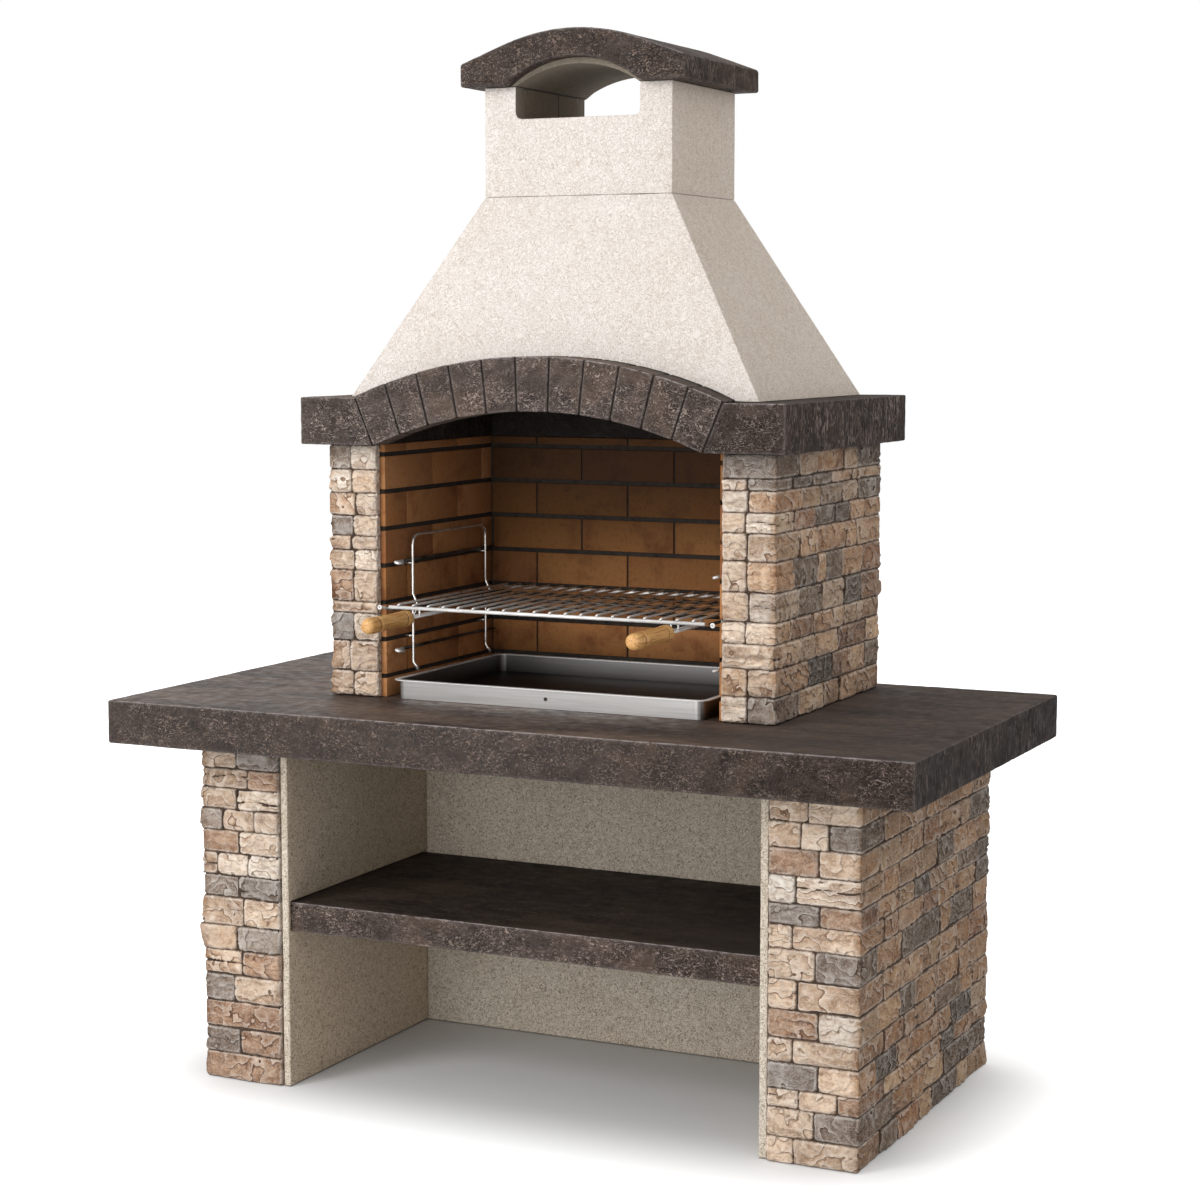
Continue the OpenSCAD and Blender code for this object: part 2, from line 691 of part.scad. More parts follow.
module back_firebricks() { color(brick_red) back_bricks(); }
module left_firebricks() { color(brick_red) mirror([1, 0, 0]) side_bricks(); }
module right_firebricks() { color(brick_red) side_bricks(); }
module back_brick_mortar() {
    color(mortar_dark) difference() {
        translate([-brick_x, brick_y + joint_recess, worktop_top])
            cube([firebox_w, brick_t + bed_t - joint_recess, jamb_h]);
        back_bricks();
    }
}
module left_brick_mortar() { color(mortar_dark) mirror([1, 0, 0]) side_mortar(); }
module right_brick_mortar() { color(mortar_dark) side_mortar(); }

module mantel_left_beam() { color(dark_stone) mirror([1, 0, 0]) mantel_side(); }
module mantel_right_beam() { color(dark_stone) mantel_side(); }
module mantel_back_beam() {
    color(dark_stone) translate([-brick_x, brick_y, mantel_z])
        cube([firebox_w, mantel_back - brick_y, mantel_t]);
}
module arch_mortar() {
    color(mortar_dark) intersection() {
        arch_outline();
        for (k = [0 : voussoirs])
            translate([0, 0, arch_cz]) rotate([0, (k - voussoirs / 2) * arch_step, 0])
                translate([-arch_joint / 2, mantel_front + arch_recess, arch_r + arch_recess])
                    cube([arch_joint, arch_depth + 60, voussoir_l - 2 * arch_recess]);
    }
}

module hood_front_wall() {
    color(concrete) hood_long_wall(hood_front - 10, (neck_front + neck_back) / 2);
}
module hood_back_wall() {
    color(concrete) hood_long_wall((neck_front + neck_back) / 2, hood_back + 10);
}
module hood_left_wall() {
    color(concrete) mirror([1, 0, 0]) hood_short_wall();
}
module hood_right_wall() {
    color(concrete) hood_short_wall();
}
module chimney_neck() {
    color(concrete) difference() {
        translate([-neck_w / 2, neck_front, neck_z]) cube([neck_w, neck_d, neck_h]);
        translate([shell_t - neck_w / 2, neck_front + shell_t, neck_z - 1])
            cube([neck_w - 2 * shell_t, neck_d - 2 * shell_t, neck_h + 2]);
        translate([0, neck_back + 1, cap_z - vent_h]) rotate([90, 0, 0]) linear_extrude(neck_d + 2) {
            translate([-vent_w / 2, vent_r]) square([vent_w, vent_h]);
            translate([vent_r - vent_w / 2, 0]) square([vent_w - 2 * vent_r, vent_h]);
            for (s = [-1, 1]) translate([s * (vent_w / 2 - vent_r), vent_r]) circle(vent_r, $fn = 48);
        }
    }
}
module flue_lining() {
    color(concrete) {
        translate([0, neck_back, cap_z]) rotate([90, 0, 0]) linear_extrude(neck_d) difference() {
            intersection() {
                translate([0, vault_rise - vault_r]) circle(vault_r, $fn = 128);
                translate([-vault_half - 5, 0]) square([2 * vault_half + 10, vault_rise + 5]);
            }
            translate([0, soffit_rise - soffit_r]) circle(soffit_r, $fn = 128);
        }
        for (s = [0, 1]) mirror([s, 0, 0])
            translate([vent_w / 2, neck_front + shell_t, cap_z - vent_h])
                cube([lining_t, neck_d - 2 * shell_t, vent_h]);
    }
}
module chimney_cap() {
    color(dark_stone) translate([0, neck_back + cap_overhang, cap_z]) rotate([90, 0, 0])
        linear_extrude(neck_d + 2 * cap_overhang) difference() {
            union() {
                polygon([[-cap_w / 2, 0], [cap_w / 2, 0], [cap_w / 2, cap_end], [crown_half, crown_z],
                    [-crown_half, crown_z], [-cap_w / 2, cap_end]]);
                intersection() {
                    translate([0, cap_h - crown_r]) circle(crown_r, $fn = 180);
                    translate([-crown_half, crown_z - 1]) square([2 * crown_half, cap_h]);
                }
            }
            translate([0, vault_rise - vault_r]) circle(vault_r, $fn = 128);
        }
}

module left_support_frame() { color(bright_wire) mirror([1, 0, 0]) support_frame(); }
module right_support_frame() { color(bright_wire) support_frame(); }
module left_support_rails() { color(bright_wire) mirror([1, 0, 0]) support_rails(); }
module right_support_rails() { color(bright_wire) support_rails(); }

module grill_frame_rods() { color(bright_wire) grill_rods(); }
module grill_bars() {
    color(bright_wire) for (k = [0 : bars])
        translate([bar_first + k * bar_pitch, grill_back + 4, grill_z + rod_r + bar_r]) rotate([90, 0, 0])
            cylinder(h = grill_back - grill_front + 8, r = bar_r, $fn = 24);
}
module left_handle_wires() { color(bright_wire) mirror([1, 0, 0]) handle_wires(); }
module right_handle_wires() { color(bright_wire) handle_wires(); }
module left_handle_grip() { color(beech) mirror([1, 0, 0]) grip(); }
module right_handle_grip() { color(beech) grip(); }

module ash_pan() {
    wall = pan_half - pan_rim;
    color(sheet) difference() {
        union() {
            translate([0, 0, pan_z]) linear_extrude(pan_h)
                round_plan(wall, pan_front + pan_rim, pan_back - pan_rim, pan_r);
            translate([0, 0, pan_z + pan_h - pan_sheet]) linear_extrude(pan_sheet)
                round_plan(pan_half, pan_front, pan_back, pan_r + pan_rim);
        }
        translate([0, 0, pan_z + pan_sheet]) linear_extrude(pan_h)
            round_plan(wall - pan_sheet, pan_front + pan_rim + pan_sheet,
                pan_back - pan_rim - pan_sheet, pan_r - pan_sheet);
        translate([0, pan_front + pan_rim - 1, pan_z + pan_h / 2]) rotate([-90, 0, 0])
            cylinder(h = 5, r = 2, $fn = 32);
    }
}
module pan_rivet() {
    color(bright_wire) translate([0, pan_front + pan_rim, pan_z + pan_h / 2]) rotate([-90, 0, 0]) {
        translate([0, 0, -1.5]) cylinder(h = 1.5, r = 4, $fn = 32);
        cylinder(h = pan_sheet, r = 2, $fn = 32);
    }
}

base_left_leg();
base_right_leg();
base_back_panel();
shelf();
worktop();
left_leg_corner_stones();
left_leg_front_stones();
left_leg_side_stones();
right_leg_corner_stones();
right_leg_front_stones();
right_leg_side_stones();
left_jamb();
right_jamb();
firebox_back_panel();
left_jamb_corner_stones();
left_jamb_front_stones();
left_jamb_side_stones();
right_jamb_corner_stones();
right_jamb_front_stones();
right_jamb_side_stones();
back_firebricks();
left_firebricks();
right_firebricks();
back_brick_mortar();
left_brick_mortar();
right_brick_mortar();
mantel_left_beam();
mantel_right_beam();
mantel_back_beam();
voussoir(1);  // voussoir_01
voussoir(2);  // voussoir_02
voussoir(3);  // voussoir_03
voussoir(4);  // voussoir_04
voussoir(5);  // voussoir_05
voussoir(6);  // voussoir_06
voussoir(7);  // voussoir_07
voussoir(8);  // voussoir_08
voussoir(9);  // voussoir_09
voussoir(10);  // voussoir_10
voussoir(11);  // voussoir_11
arch_mortar();
hood_front_wall();
hood_back_wall();
hood_left_wall();
hood_right_wall();
chimney_neck();
flue_lining();
chimney_cap();
left_support_frame();
right_support_frame();
left_support_rails();
right_support_rails();
grill_frame_rods();
grill_bars();
left_handle_wires();
right_handle_wires();
left_handle_grip();
right_handle_grip();
ash_pan();
pan_rivet();
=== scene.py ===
import math

import bmesh
import bpy
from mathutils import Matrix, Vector, kdtree, noise


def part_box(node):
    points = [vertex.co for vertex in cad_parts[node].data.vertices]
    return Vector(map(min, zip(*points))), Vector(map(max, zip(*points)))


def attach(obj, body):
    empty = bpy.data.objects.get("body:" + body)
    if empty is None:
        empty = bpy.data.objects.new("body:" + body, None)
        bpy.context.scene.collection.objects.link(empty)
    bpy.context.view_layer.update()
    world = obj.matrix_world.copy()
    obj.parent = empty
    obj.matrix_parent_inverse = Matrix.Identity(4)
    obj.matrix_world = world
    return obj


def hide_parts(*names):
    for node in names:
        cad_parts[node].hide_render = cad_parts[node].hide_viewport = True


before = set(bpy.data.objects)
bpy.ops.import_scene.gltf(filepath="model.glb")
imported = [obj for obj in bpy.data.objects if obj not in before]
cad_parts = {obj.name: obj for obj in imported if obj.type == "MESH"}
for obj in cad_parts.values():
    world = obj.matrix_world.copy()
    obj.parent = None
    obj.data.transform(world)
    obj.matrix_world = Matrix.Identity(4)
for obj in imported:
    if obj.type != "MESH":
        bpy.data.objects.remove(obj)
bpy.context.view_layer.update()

MM = 0.001


# Colours, materials and small helpers

def hex_colour(text):
    """An sRGB hex value such as "c8a27c", as the linear colour that the shaders use."""
    channels = [int(text[i:i + 2], 16) / 255 for i in (0, 2, 4)]
    linear = [c / 12.92 if c <= 0.04045 else ((c + 0.055) / 1.055) ** 2.4 for c in channels]
    return (*linear, 1.0)


class Finish:
    """The nodes of a material or of the world: each method adds some and gives back what they make."""

    def __init__(self, owner):
        owner.use_nodes = True
        self.owner = owner
        self.tree = owner.node_tree

    def feed(self, socket, value):
        """Links a node's output to a socket, or sets the socket to a plain value."""
        if isinstance(value, bpy.types.NodeSocket):
            self.tree.links.new(value, socket)
        else:
            socket.default_value = value

    def node(self, kind, settings=None, **links):
        """Adds a node with its settings; each link or value goes to the input of that name or number."""
        made = self.tree.nodes.new("ShaderNode" + kind)
        for key, value in (settings or {}).items():
            setattr(made, key, value)
        for key, value in links.items():
            numbered = key[0] == "i" and key[1:].isdigit()
            self.feed(made.inputs[int(key[1:]) if numbered else key.replace("_", " ")], value)
        return made

    def surface(self, **inputs):
        """Feeds the inputs of the material's own shader."""
        for key, value in inputs.items():
            self.feed(self.tree.nodes["Principled BSDF"].inputs[key.replace("_", " ")], value)

    def bump(self, *layers):
        """Bumps the surface by layers of (height, depth in millimetres)."""
        under = {}
        for height, depth in layers:
            made = self.node("Bump", Height=height, Distance=depth * MM, Strength=1.0, **under)
            under = {"Normal": made.outputs[0]}
        self.surface(**under)

    def steps(self, factor, *steps):
        """A colour ramp through (place, colour) steps, driven by factor."""
        made = self.node("ValToRGB", Fac=factor)
        ramp = made.color_ramp
        while len(ramp.elements) < len(steps):
            ramp.elements.new(0.5)
        for element, (place, colour) in zip(ramp.elements, steps):
            element.position = place
            element.color = hex_colour(colour) if isinstance(colour, str) else (colour, colour, colour, 1)
        return made.outputs["Color"]

    def blend(self, factor, first, second, how="MIX"):
        first, second = [hex_colour(c) if isinstance(c, str) else c for c in (first, second)]
        made = self.node("Mix", {"data_type": "RGBA", "blend_type": how}, i0=factor, i6=first, i7=second)
        return made.outputs[2]

    def tint(self, amount, colour, tint):
        """The colour multiplied by a tint, as far as amount says."""
        return self.blend(amount, colour, tint, "MULTIPLY")

    def maths(self, operation, a, b=0.0, clamp=False):
        return self.node("Math", {"operation": operation, "use_clamp": clamp}, i0=a, i1=b).outputs[0]

    def product(self, first, *others):
        for other in others:
            first = self.maths("MULTIPLY", first, other)
        return first

    def slope(self, value, start, end, low=0.0, high=1.0, how="LINEAR"):
        """Goes from low to high while value goes from start to end."""
        settings = {"interpolation_type": how}
        return self.node("MapRange", settings, Value=value, i1=start, i2=end, i3=low, i4=high).outputs[0]

    def place(self, *stretch):
        """The place on the object in metres, stretched along the axes."""
        where = self.node("TexCoord").outputs["Object"]
        return self.node("Mapping", Vector=where, Scale=stretch or (1, 1, 1)).outputs[0]

    def spot(self):
        """The X, Y and Z of the place on the object, in metres."""
        return self.node("SeparateXYZ", Vector=self.place()).outputs

    def facing(self):
        """The X, Y and Z of the direction that the surface faces."""
        return self.node("SeparateXYZ", Vector=self.node("NewGeometry").outputs["Normal"]).outputs

    def layer(self, name, output="Fac"):
        """A value that the mesh carries on its vertices."""
        return self.node("Attribute", {"attribute_name": name}).outputs[output]

    def grain(self, where, size, detail=4.0, roughness=0.55, distortion=0.0, own=None):
        """Noise whose blotches are about size millimetres across; own gives each stone its own part of it."""
        part = {} if own is None else {"W": own}
        return self.node("TexNoise", {"noise_dimensions": "4D" if part else "3D"}, Vector=where,
                         Scale=500 / size, Detail=detail, Roughness=roughness, Distortion=distortion,
                         **part).outputs["Fac"]

    def lines(self, height, width):
        """1 along the lines where height passes a half, fading to 0 over width."""
        off = self.maths("ABSOLUTE", self.maths("SUBTRACT", height, 0.5))
        return self.slope(off, 0.0, width, 1.0, 0.0, "SMOOTHSTEP")

    def ripples(self, field, count):
        """Fine scour lines that wander like contours of a field, as a trowel or a worn mould leaves them."""
        return self.product(self.maths("PINGPONG", self.product(field, count), 0.5), 2.0)

    def band(self, value, low, high):
        """1 where value lies between low and high."""
        blur = 0.0004
        above = self.slope(value, low - blur, low)
        return self.product(above, self.slope(value, high, high + blur, 1.0, 0.0))

    def within(self, low, high):
        """1 inside the box from low to high."""
        spot = self.spot()
        return self.product(*[self.band(spot[axis], *ends) for axis, *ends in zip("XYZ", low, high)])

    def inside_fire(self):
        """1 within the firebox and the smoke's way above it."""
        spot = self.spot()
        near = self.slope(self.maths("ABSOLUTE", spot["X"]), 0.42, 0.44, 1.0, 0.0)
        behind = self.slope(spot["Y"], -0.2, -0.18)
        before = self.slope(spot["Y"], 0.36, 0.40, 1.0, 0.0)
        above = self.slope(spot["Z"], 1.0, 1.1)
        below = self.slope(spot["Z"], 1.7, 1.95, 1.0, 0.0)
        return self.product(near, behind, before, above, below)

    def looked_at(self):
        """1 for what the camera sees, by itself or in a mirror, and 0 for what only lights the object."""
        path = self.node("LightPath").outputs
        seen = self.maths("ADD", path["Is Camera Ray"], path["Is Glossy Ray"])
        return self.maths("ADD", seen, path["Is Transmission Ray"], True)


def new_finish(name, roughness, **inputs):
    """A material; inputs are values for its shader."""
    mat = Finish(bpy.data.materials.new(name))
    mat.surface(Roughness=roughness, **inputs)
    return mat


# Finishes

def cladding_stone_finish():
    """Cleaved concrete cladding stone: rough and matt, each stone in its own tan, cream, brown or grey, split
    in ledges with a painted highlight on each ridge over a thin painted shadow line, faint ripples between,
    painted shade in the hollows, and a painted highlight along the rim that also stands for wear."""
    mat = new_finish("cladding_stone", 0.9)
    where = mat.place()
    flat = mat.place(1, 1, 2.1)
    tone = mat.layer("stone_colour", "Color")
    own, relief = mat.layer("stone_number"), mat.layer("relief")
    rim, split = mat.layer("edge_gap"), mat.layer("ledges")
    cloudy = mat.grain(flat, 46, 4, 0.6, 0.4, own)
    blotch = mat.steps(cloudy, (0.36, "b8a08a"), (0.5, "f5eee6"), (0.64, "ffffff"))
    colour = mat.tint(0.6, tone, blotch)
    ragged = mat.product(mat.grain(where, 7, 3, 0.6, 0.0, own), 0.3)
    sheets = mat.maths("FRACT", mat.maths("ADD", split, ragged))
    patchy = mat.steps(mat.grain(where, 34, 3, 0.5, 0.0, own), (0.38, 0.15), (0.54, 1.0))
    # along each ledge, a painted shadow line under its foot and a painted highlight on its ridge
    crease_shadow = mat.product(mat.steps(sheets, (0.0, 1.0), (0.05, 0.8), (0.16, 0.0)), patchy)
    crest_highlight = mat.product(mat.steps(sheets, (0.55, 0.0), (0.88, 0.6), (0.97, 1.0)), patchy)
    scour = mat.ripples(mat.grain(flat, 30, 2.5, 0.5, 1.2, own), 5)
    line = mat.steps(scour, (0.0, "a18a75"), (0.35, "efe6dc"), (0.8, "ffffff"))
    colour = mat.tint(0.55, colour, line)
    worms = mat.lines(mat.grain(where, 6, 2.0, 0.5, 1.4, own), 0.08)
    sandy = mat.grain(where, 5, 4, 0.7)
    colour = mat.tint(0.35, colour, mat.steps(sandy, (0.34, "a08a7b"), (0.5, "ffffff")))
    # painted shade: the low parts of the relief, its hollows and cracks, turn dark brown
    low = mat.steps(relief, (0.0, "6d523b"), (0.16, "d3c1af"), (0.3, "ffffff"))
    colour = mat.tint(0.6, colour, low)
    pale = mat.blend(0.5, tone, "fbf3ea")
    # painted highlight on the high spots of the relief and on the ledge ridges; the pale worm lines are the
    # stone's own
    high = mat.steps(relief, (0.58, 0.0), (0.9, 1.0))
    for part, amount in ((worms, 0.3), (high, 0.4), (crest_highlight, 0.55)):
        colour = mat.blend(mat.product(part, amount), colour, pale)
    colour = mat.blend(crease_shadow, colour, mat.tint(1.0, tone, "7e634c"))
    # a painted highlight along each stone's rounded rim, in patches that also stand for wear
    rubbed_and_highlight = mat.steps(rim, (0.08, 0.0), (0.18, 1.0), (0.3, 0.75), (0.46, 0.0))
    worn_and_highlight = mat.steps(mat.grain(where, 12, 4, 0.7), (0.42, 0.25), (0.56, 1.0))
    colour = mat.blend(mat.product(rubbed_and_highlight, worn_and_highlight, 0.6), colour, pale)
    joint = mat.steps(rim, (0.0, 1.0), (0.13, 0.0))
    colour = mat.blend(mat.product(joint, 0.8), colour, "4a3829")
    mat.surface(Base_Color=colour)
    turned = mat.steps(rim, (0.0, 0.0), (0.16, 0.55), (0.4, 1.0))
    mat.bump((turned, 1.8), (cloudy, 9.0), (sheets, 3.0), (scour, 1.1), (worms, 0.7), (sandy, 0.6))
    return mat.owner


def render_finish(name, base, pits, warm, contrast, marks=()):
    """Scraped fine-grit cement render: pale and matt, worm-lined all over where the grit rolled under the
    float, with a painted warmth of shade that turns its sides a little yellower. Marks are (low, high,
    amount, colour), for a joint or a painted shade."""
    mat = new_finish(name, 0.92)
    where = mat.place()
    cloud = mat.steps(mat.grain(where, 220, 3), (0.3, "f3eee9"), (0.7, "ffffff"))
    colour = mat.tint(0.7, base, cloud)
    aside = mat.maths("ABSOLUTE", mat.facing()["X"])
    # painted warmth of shade: faces that look sideways turn a little yellower
    sideways = mat.steps(aside, (0.5, 0.0), (0.8, 1.0))
    colour = mat.tint(sideways, colour, "fff9f1")
    worms = mat.lines(mat.grain(where, 4.3, 1.5, 0.5, 1.8), 0.09)
    worms = mat.maths("SUBTRACT", 1.0, worms)
    colour = mat.tint(contrast, colour, mat.steps(worms, (0.0, warm), (0.7, "ffffff")))
    sand = mat.steps(mat.grain(where, 2.6, 3, 0.75), (0.30, pits), (0.4, "ffffff"))
    colour = mat.tint(0.6 * contrast, colour, sand)
    for low, high, amount, tone in marks:
        part = mat.product(mat.within(low, high), amount)
        colour = mat.blend(part, colour, tone)
    mat.surface(Base_Color=colour)
    mat.bump((mat.grain(where, 40, 3), 0.8), (worms, 0.3))
    return mat.owner


def dark_stone_finish(name, gloss, shine, face_tone, top_tone_and_light, end_tone_and_shade):
    """Reconstituted stone, cast dark brown and wax-sealed: worm-lined all over by the mould's liner, cloudy,
    pale along its upper front arrises from wear and a painted highlight, streaked along its top and down
    its ends, with painted light and shade in its tones by side and across its top, and black where smoke
    passes, sooty and in painted shade."""
    mat = new_finish(name, gloss, Specular_IOR_Level=shine)
    where = mat.place()
    facing = mat.facing()
    up = mat.steps(facing["Z"], (0.6, 0.0), (0.9, 1.0))
    sideways = mat.steps(mat.maths("ABSOLUTE", facing["X"]), (0.7, 0.0), (0.9, 1.0))

    def by_side(face, end, top):
        return mat.blend(up, mat.blend(sideways, face, end), top)

    # the tones by side carry painted light: a lighter top stands for a painted sheen, a darker top or end for
    # painted shade
    tone = by_side(face_tone, end_tone_and_shade, top_tone_and_light)
    pattern = by_side(mat.grain(mat.place(0.8, 1, 1.2), 30, 9, 0.76, 0.9),
                      mat.grain(mat.place(1, 1.7, 0.5), 18, 8, 0.74, 0.5),
                      mat.grain(mat.place(0.2, 1.5, 1), 17, 8, 0.72, 0.6))
    colour = mat.steps(pattern, (0.32, "241d1a"), (0.44, "392f2b"), (0.54, "4b403b"), (0.62, "5f524d"),
                       (0.72, "7e706a"))
    colour = mat.tint(1.0, colour, tone)
    grit = mat.steps(mat.grain(where, 4, 3, 0.75), (0.34, "6f6158"), (0.52, "ffffff"))
    colour = mat.tint(0.5, colour, grit)
    # the top was trowelled, so that what the mould's liner left is fainter there
    level = mat.maths("SUBTRACT", 1.0, mat.product(up, 0.6))
    dusty = mat.steps(mat.grain(where, 80, 5, 0.6, 0.8), (0.5, 0.0), (0.66, 0.3))
    colour = mat.blend(mat.product(dusty, level), colour, mat.tint(1.0, tone, "84705f"))
    lined = by_side(mat.grain(mat.place(0.7, 1, 1.2), 6.4, 1.5, 0.5, 2.6),
                    mat.grain(mat.place(1, 1.3, 0.4), 8, 1.5, 0.5, 1.2),
                    mat.grain(mat.place(0.25, 1.2, 1), 8, 1.5, 0.5, 0.8))
    here = mat.steps(mat.grain(where, 26, 5, 0.65), (0.40, 0.18), (0.58, 1.0))
    worms = mat.product(mat.lines(lined, 0.065), here, level)
    colour = mat.blend(mat.product(worms, 0.78), colour, mat.tint(1.0, tone, "d4c5bc"))
    trodden = mat.grain(mat.place(0.4, 1.4, 1), 70, 5, 0.6)
    trodden = mat.steps(trodden, (0.4, 0.0), (0.62, 0.55))
    colour = mat.blend(mat.product(trodden, up), colour, mat.tint(1.0, tone, "9c8878"))
    wet = mat.grain(mat.place(0.45, 1.4, 1), 120, 5, 0.65)
    wet = mat.steps(wet, (0.38, 0.5), (0.56, 0.0))
    colour = mat.blend(mat.product(wet, up), colour, "3b312c")
    # painted shade: the tops darken towards +X, where the worktop shows neither sheen nor light
    shade_towards_right = mat.slope(mat.spot()["X"], 0.1, 0.7, 0.0, 0.55)
    colour = mat.blend(mat.product(shade_towards_right, up), colour, "2e2622")
    # pale along the arrises, partly wear and partly a painted highlight, kept to faces that look up and to
    # the front
    worn_and_highlight = mat.maths("POWER", mat.layer("arris"), 5.0)
    rubbed_and_highlight = mat.steps(mat.grain(where, 9, 5, 0.7), (0.38, 0.15), (0.5, 1.0))
    above = mat.steps(facing["Z"], (0.48, 0.25), (0.56, 1.0))
    fore = mat.steps(mat.product(facing["Y"], -1.0), (0.1, 0.2), (0.35, 1.0))
    worn_and_highlight = mat.product(worn_and_highlight, rubbed_and_highlight, above, fore)
    colour = mat.blend(worn_and_highlight, colour, "d2c8c7")
    # soot together with painted shade: near black within the firebox and the smoke's way above it
    soot_and_shade = mat.product(mat.inside_fire(), 0.85)
    colour = mat.blend(soot_and_shade, colour, "0f0b08")
    mat.surface(Base_Color=colour)
    dull = mat.grain(where, 14, 4)
    dull = mat.steps(dull, (0.35, gloss - 0.08), (0.65, min(1, gloss + 0.16)))
    waxed = mat.slope(mat.spot()["X"], 0.15, 0.7, 0.0, 0.34)
    mat.surface(Roughness=mat.maths("ADD", dull, waxed, True))
    mat.bump((mat.product(pattern, level), 3.0), (worms, 1.2), (mat.grain(where, 4.5, 5, 0.7), 0.7))
    return mat.owner


def firebrick_finish():
    """Pressed clay firebrick: warm tan, matt and fine, each brick in its own tone, sooty in patches."""
    mat = new_finish("firebrick", 0.88)
    where = mat.place()
    blotch = mat.grain(where, 50, 6, 0.6)
    blotch = mat.steps(blotch, (0.32, "b08b6c"), (0.5, "ffffff"), (0.68, "fff2e2"))
    colour = mat.tint(0.75, mat.layer("stone_colour", "Color"), blotch)
    speck = mat.grain(where, 4.5, 4, 0.65)
    speck = mat.steps(speck, (0.3, "b08f72"), (0.48, "ffffff"), (0.7, "fff3e4"))
    colour = mat.tint(0.5, colour, speck)
    mat.surface(Base_Color=colour)
    mat.bump((mat.grain(where, 18, 5), 0.8), (mat.grain(where, 3.5, 4, 0.7), 0.35))
    return mat.owner


def mortar_finish(name, low, high):
    """Sandy joint mortar, raked back: matt and uneven."""
    mat = new_finish(name, 0.95)
    where = mat.place()
    colour = mat.steps(mat.grain(where, 7, 4, 0.7), (0.3, low), (0.7, high))
    mat.surface(Base_Color=colour)
    mat.bump((mat.grain(where, 3, 4, 0.7), 0.8))
    return mat.owner


def wire_finish(name, dark, light, dull, metal):
    """Nickel-plated steel wire: bright, with a white haze that catches light from every side."""
    mat = new_finish(name, dull, Metallic=metal)
    where = mat.place()
    mat.surface(Base_Color=mat.steps(mat.grain(where, 25, 3), (0.3, dark), (0.7, light)))
    patchy = mat.steps(mat.grain(where, 12, 4), (0.3, dull - 0.06), (0.7, dull + 0.08))
    mat.surface(Roughness=patchy)
    return mat.owner


def sheet_steel_finish():
    """Pressed sheet steel: brushed grey along the sides, with a painted highlight along its rim that also
    stands for wear, painted shade inside that deepens towards the floor, its floor black from fires."""
    mat = new_finish("sheet_steel", 0.38, Metallic=1.0)
    spot = mat.spot()
    brush = mat.grain(mat.place(0.02, 0.02, 1.0), 1.4, 3, 0.6)
    steel = mat.steps(brush, (0.35, "aeacaa"), (0.65, "bab8b7"))
    sooty = mat.grain(mat.place(0.6, 1.3, 1), 60, 6)
    sooty = mat.steps(sooty, (0.35, "171514"), (0.65, "2e2a27"))
    flat = mat.steps(mat.facing()["Z"], (0.3, 0.0), (0.7, 1.0))
    burnt = mat.product(mat.slope(spot["Z"], PAN_FOOT + 0.0025, PAN_FOOT + 0.015, 1.0, 0.0), flat)
    # painted shade inside the pan, deeper towards its floor
    inner = mat.slope(spot["Y"], PAN_FRONT, PAN_FRONT + 0.001)
    sunk = mat.slope(spot["Z"], PAN_FOOT + 0.004, PAN_RIM, 0.85, 0.35)
    steel = mat.blend(mat.product(inner, sunk), steel, "3c3835")
    # the rim is partly wear and partly a painted highlight, with less metal so that it shows pale
    rubbed_and_highlight = mat.slope(spot["Z"], PAN_RIM - 0.0015, PAN_RIM - 0.0003)
    steel = mat.blend(rubbed_and_highlight, steel, "f2f2f0")
    mat.surface(Base_Color=mat.blend(burnt, steel, sooty))
    mat.surface(Metallic=mat.maths("SUBTRACT", 1.0, mat.product(rubbed_and_highlight, 0.7)),
                Roughness=mat.slope(burnt, 0.0, 1.0, 0.36, 0.56))
    mat.bump((brush, 0.015))
    return mat.owner


def beech_finish():
    """Turned and oiled beech: warm tan with fine grain along the grip and short darker flecks."""
    mat = new_finish("beech", 0.48)
    fine = mat.grain(mat.place(1, 0.07, 1), 2.4, 5, 0.65)
    broad = mat.grain(mat.place(1, 0.12, 1), 9, 3, 0.6, 0.4)
    colour = mat.steps(broad, (0.3, "ca9552"), (0.7, "e4b678"))
    colour = mat.tint(0.6, colour, mat.steps(fine, (0.38, "a9773f"), (0.52, "ffffff")))
    colour = mat.blend(mat.layer("groove"), colour, "6b4527")
    mat.surface(Base_Color=colour)
    mat.bump((fine, 0.12))
    return mat.owner


# Where the inner face of the pan's front wall is, and the heights of its foot and its rim
PAN_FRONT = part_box("ash_pan")[0].y + 0.0125
PAN_FOOT, PAN_RIM = 0.841, 0.8815
# Half the smoke vent's width, and its height up to the springing of its vault at the top of the neck
VENT_HALF, VENT_HIGH = 0.144, 0.067
neck_low, neck_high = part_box("chimney_neck")
springing = neck_high.z
# painted shade on the reveals inside the smoke vent
vent_reveals = ((-VENT_HALF - 0.0005, neck_low.y + 0.0015, springing - VENT_HIGH + 0.002),
                (VENT_HALF + 0.0005, neck_high.y - 0.0015, springing + 0.001), 1.0, "857c6e")
bed_joint = ((-1, neck_low.y, springing - 0.0015), (1, neck_high.y, springing + 0.0015), 0.8, "332e27")
panel_y = neck_low.y + 0.6 * (neck_high.y - neck_low.y)
panel_joint = ((-1, panel_y, springing - VENT_HIGH), (1, panel_y + 0.0035, springing), 0.85, "241f1a")
# a painted contact shadow along the foot of the bay's walls
foot_line = ((-1, -1, -0.01), (1, 1, 0.0035), 0.6, "3d372f")

cladding = cladding_stone_finish()
cream_render = render_finish("cream_concrete", "e3ddd8", "b9ada0", "bfae9c", 0.62, [vent_reveals])
bay_render = render_finish("bay_concrete", "dcd2c3", "7c6e57", "93846c", 0.85, [foot_line])
# the flue lining's dark base is painted shade inside the flue; its bed and panel lines are joints
lining_concrete = render_finish("flue_concrete", "8c8375", "6f675a", "a39a8b", 0.5, [bed_joint, panel_joint])
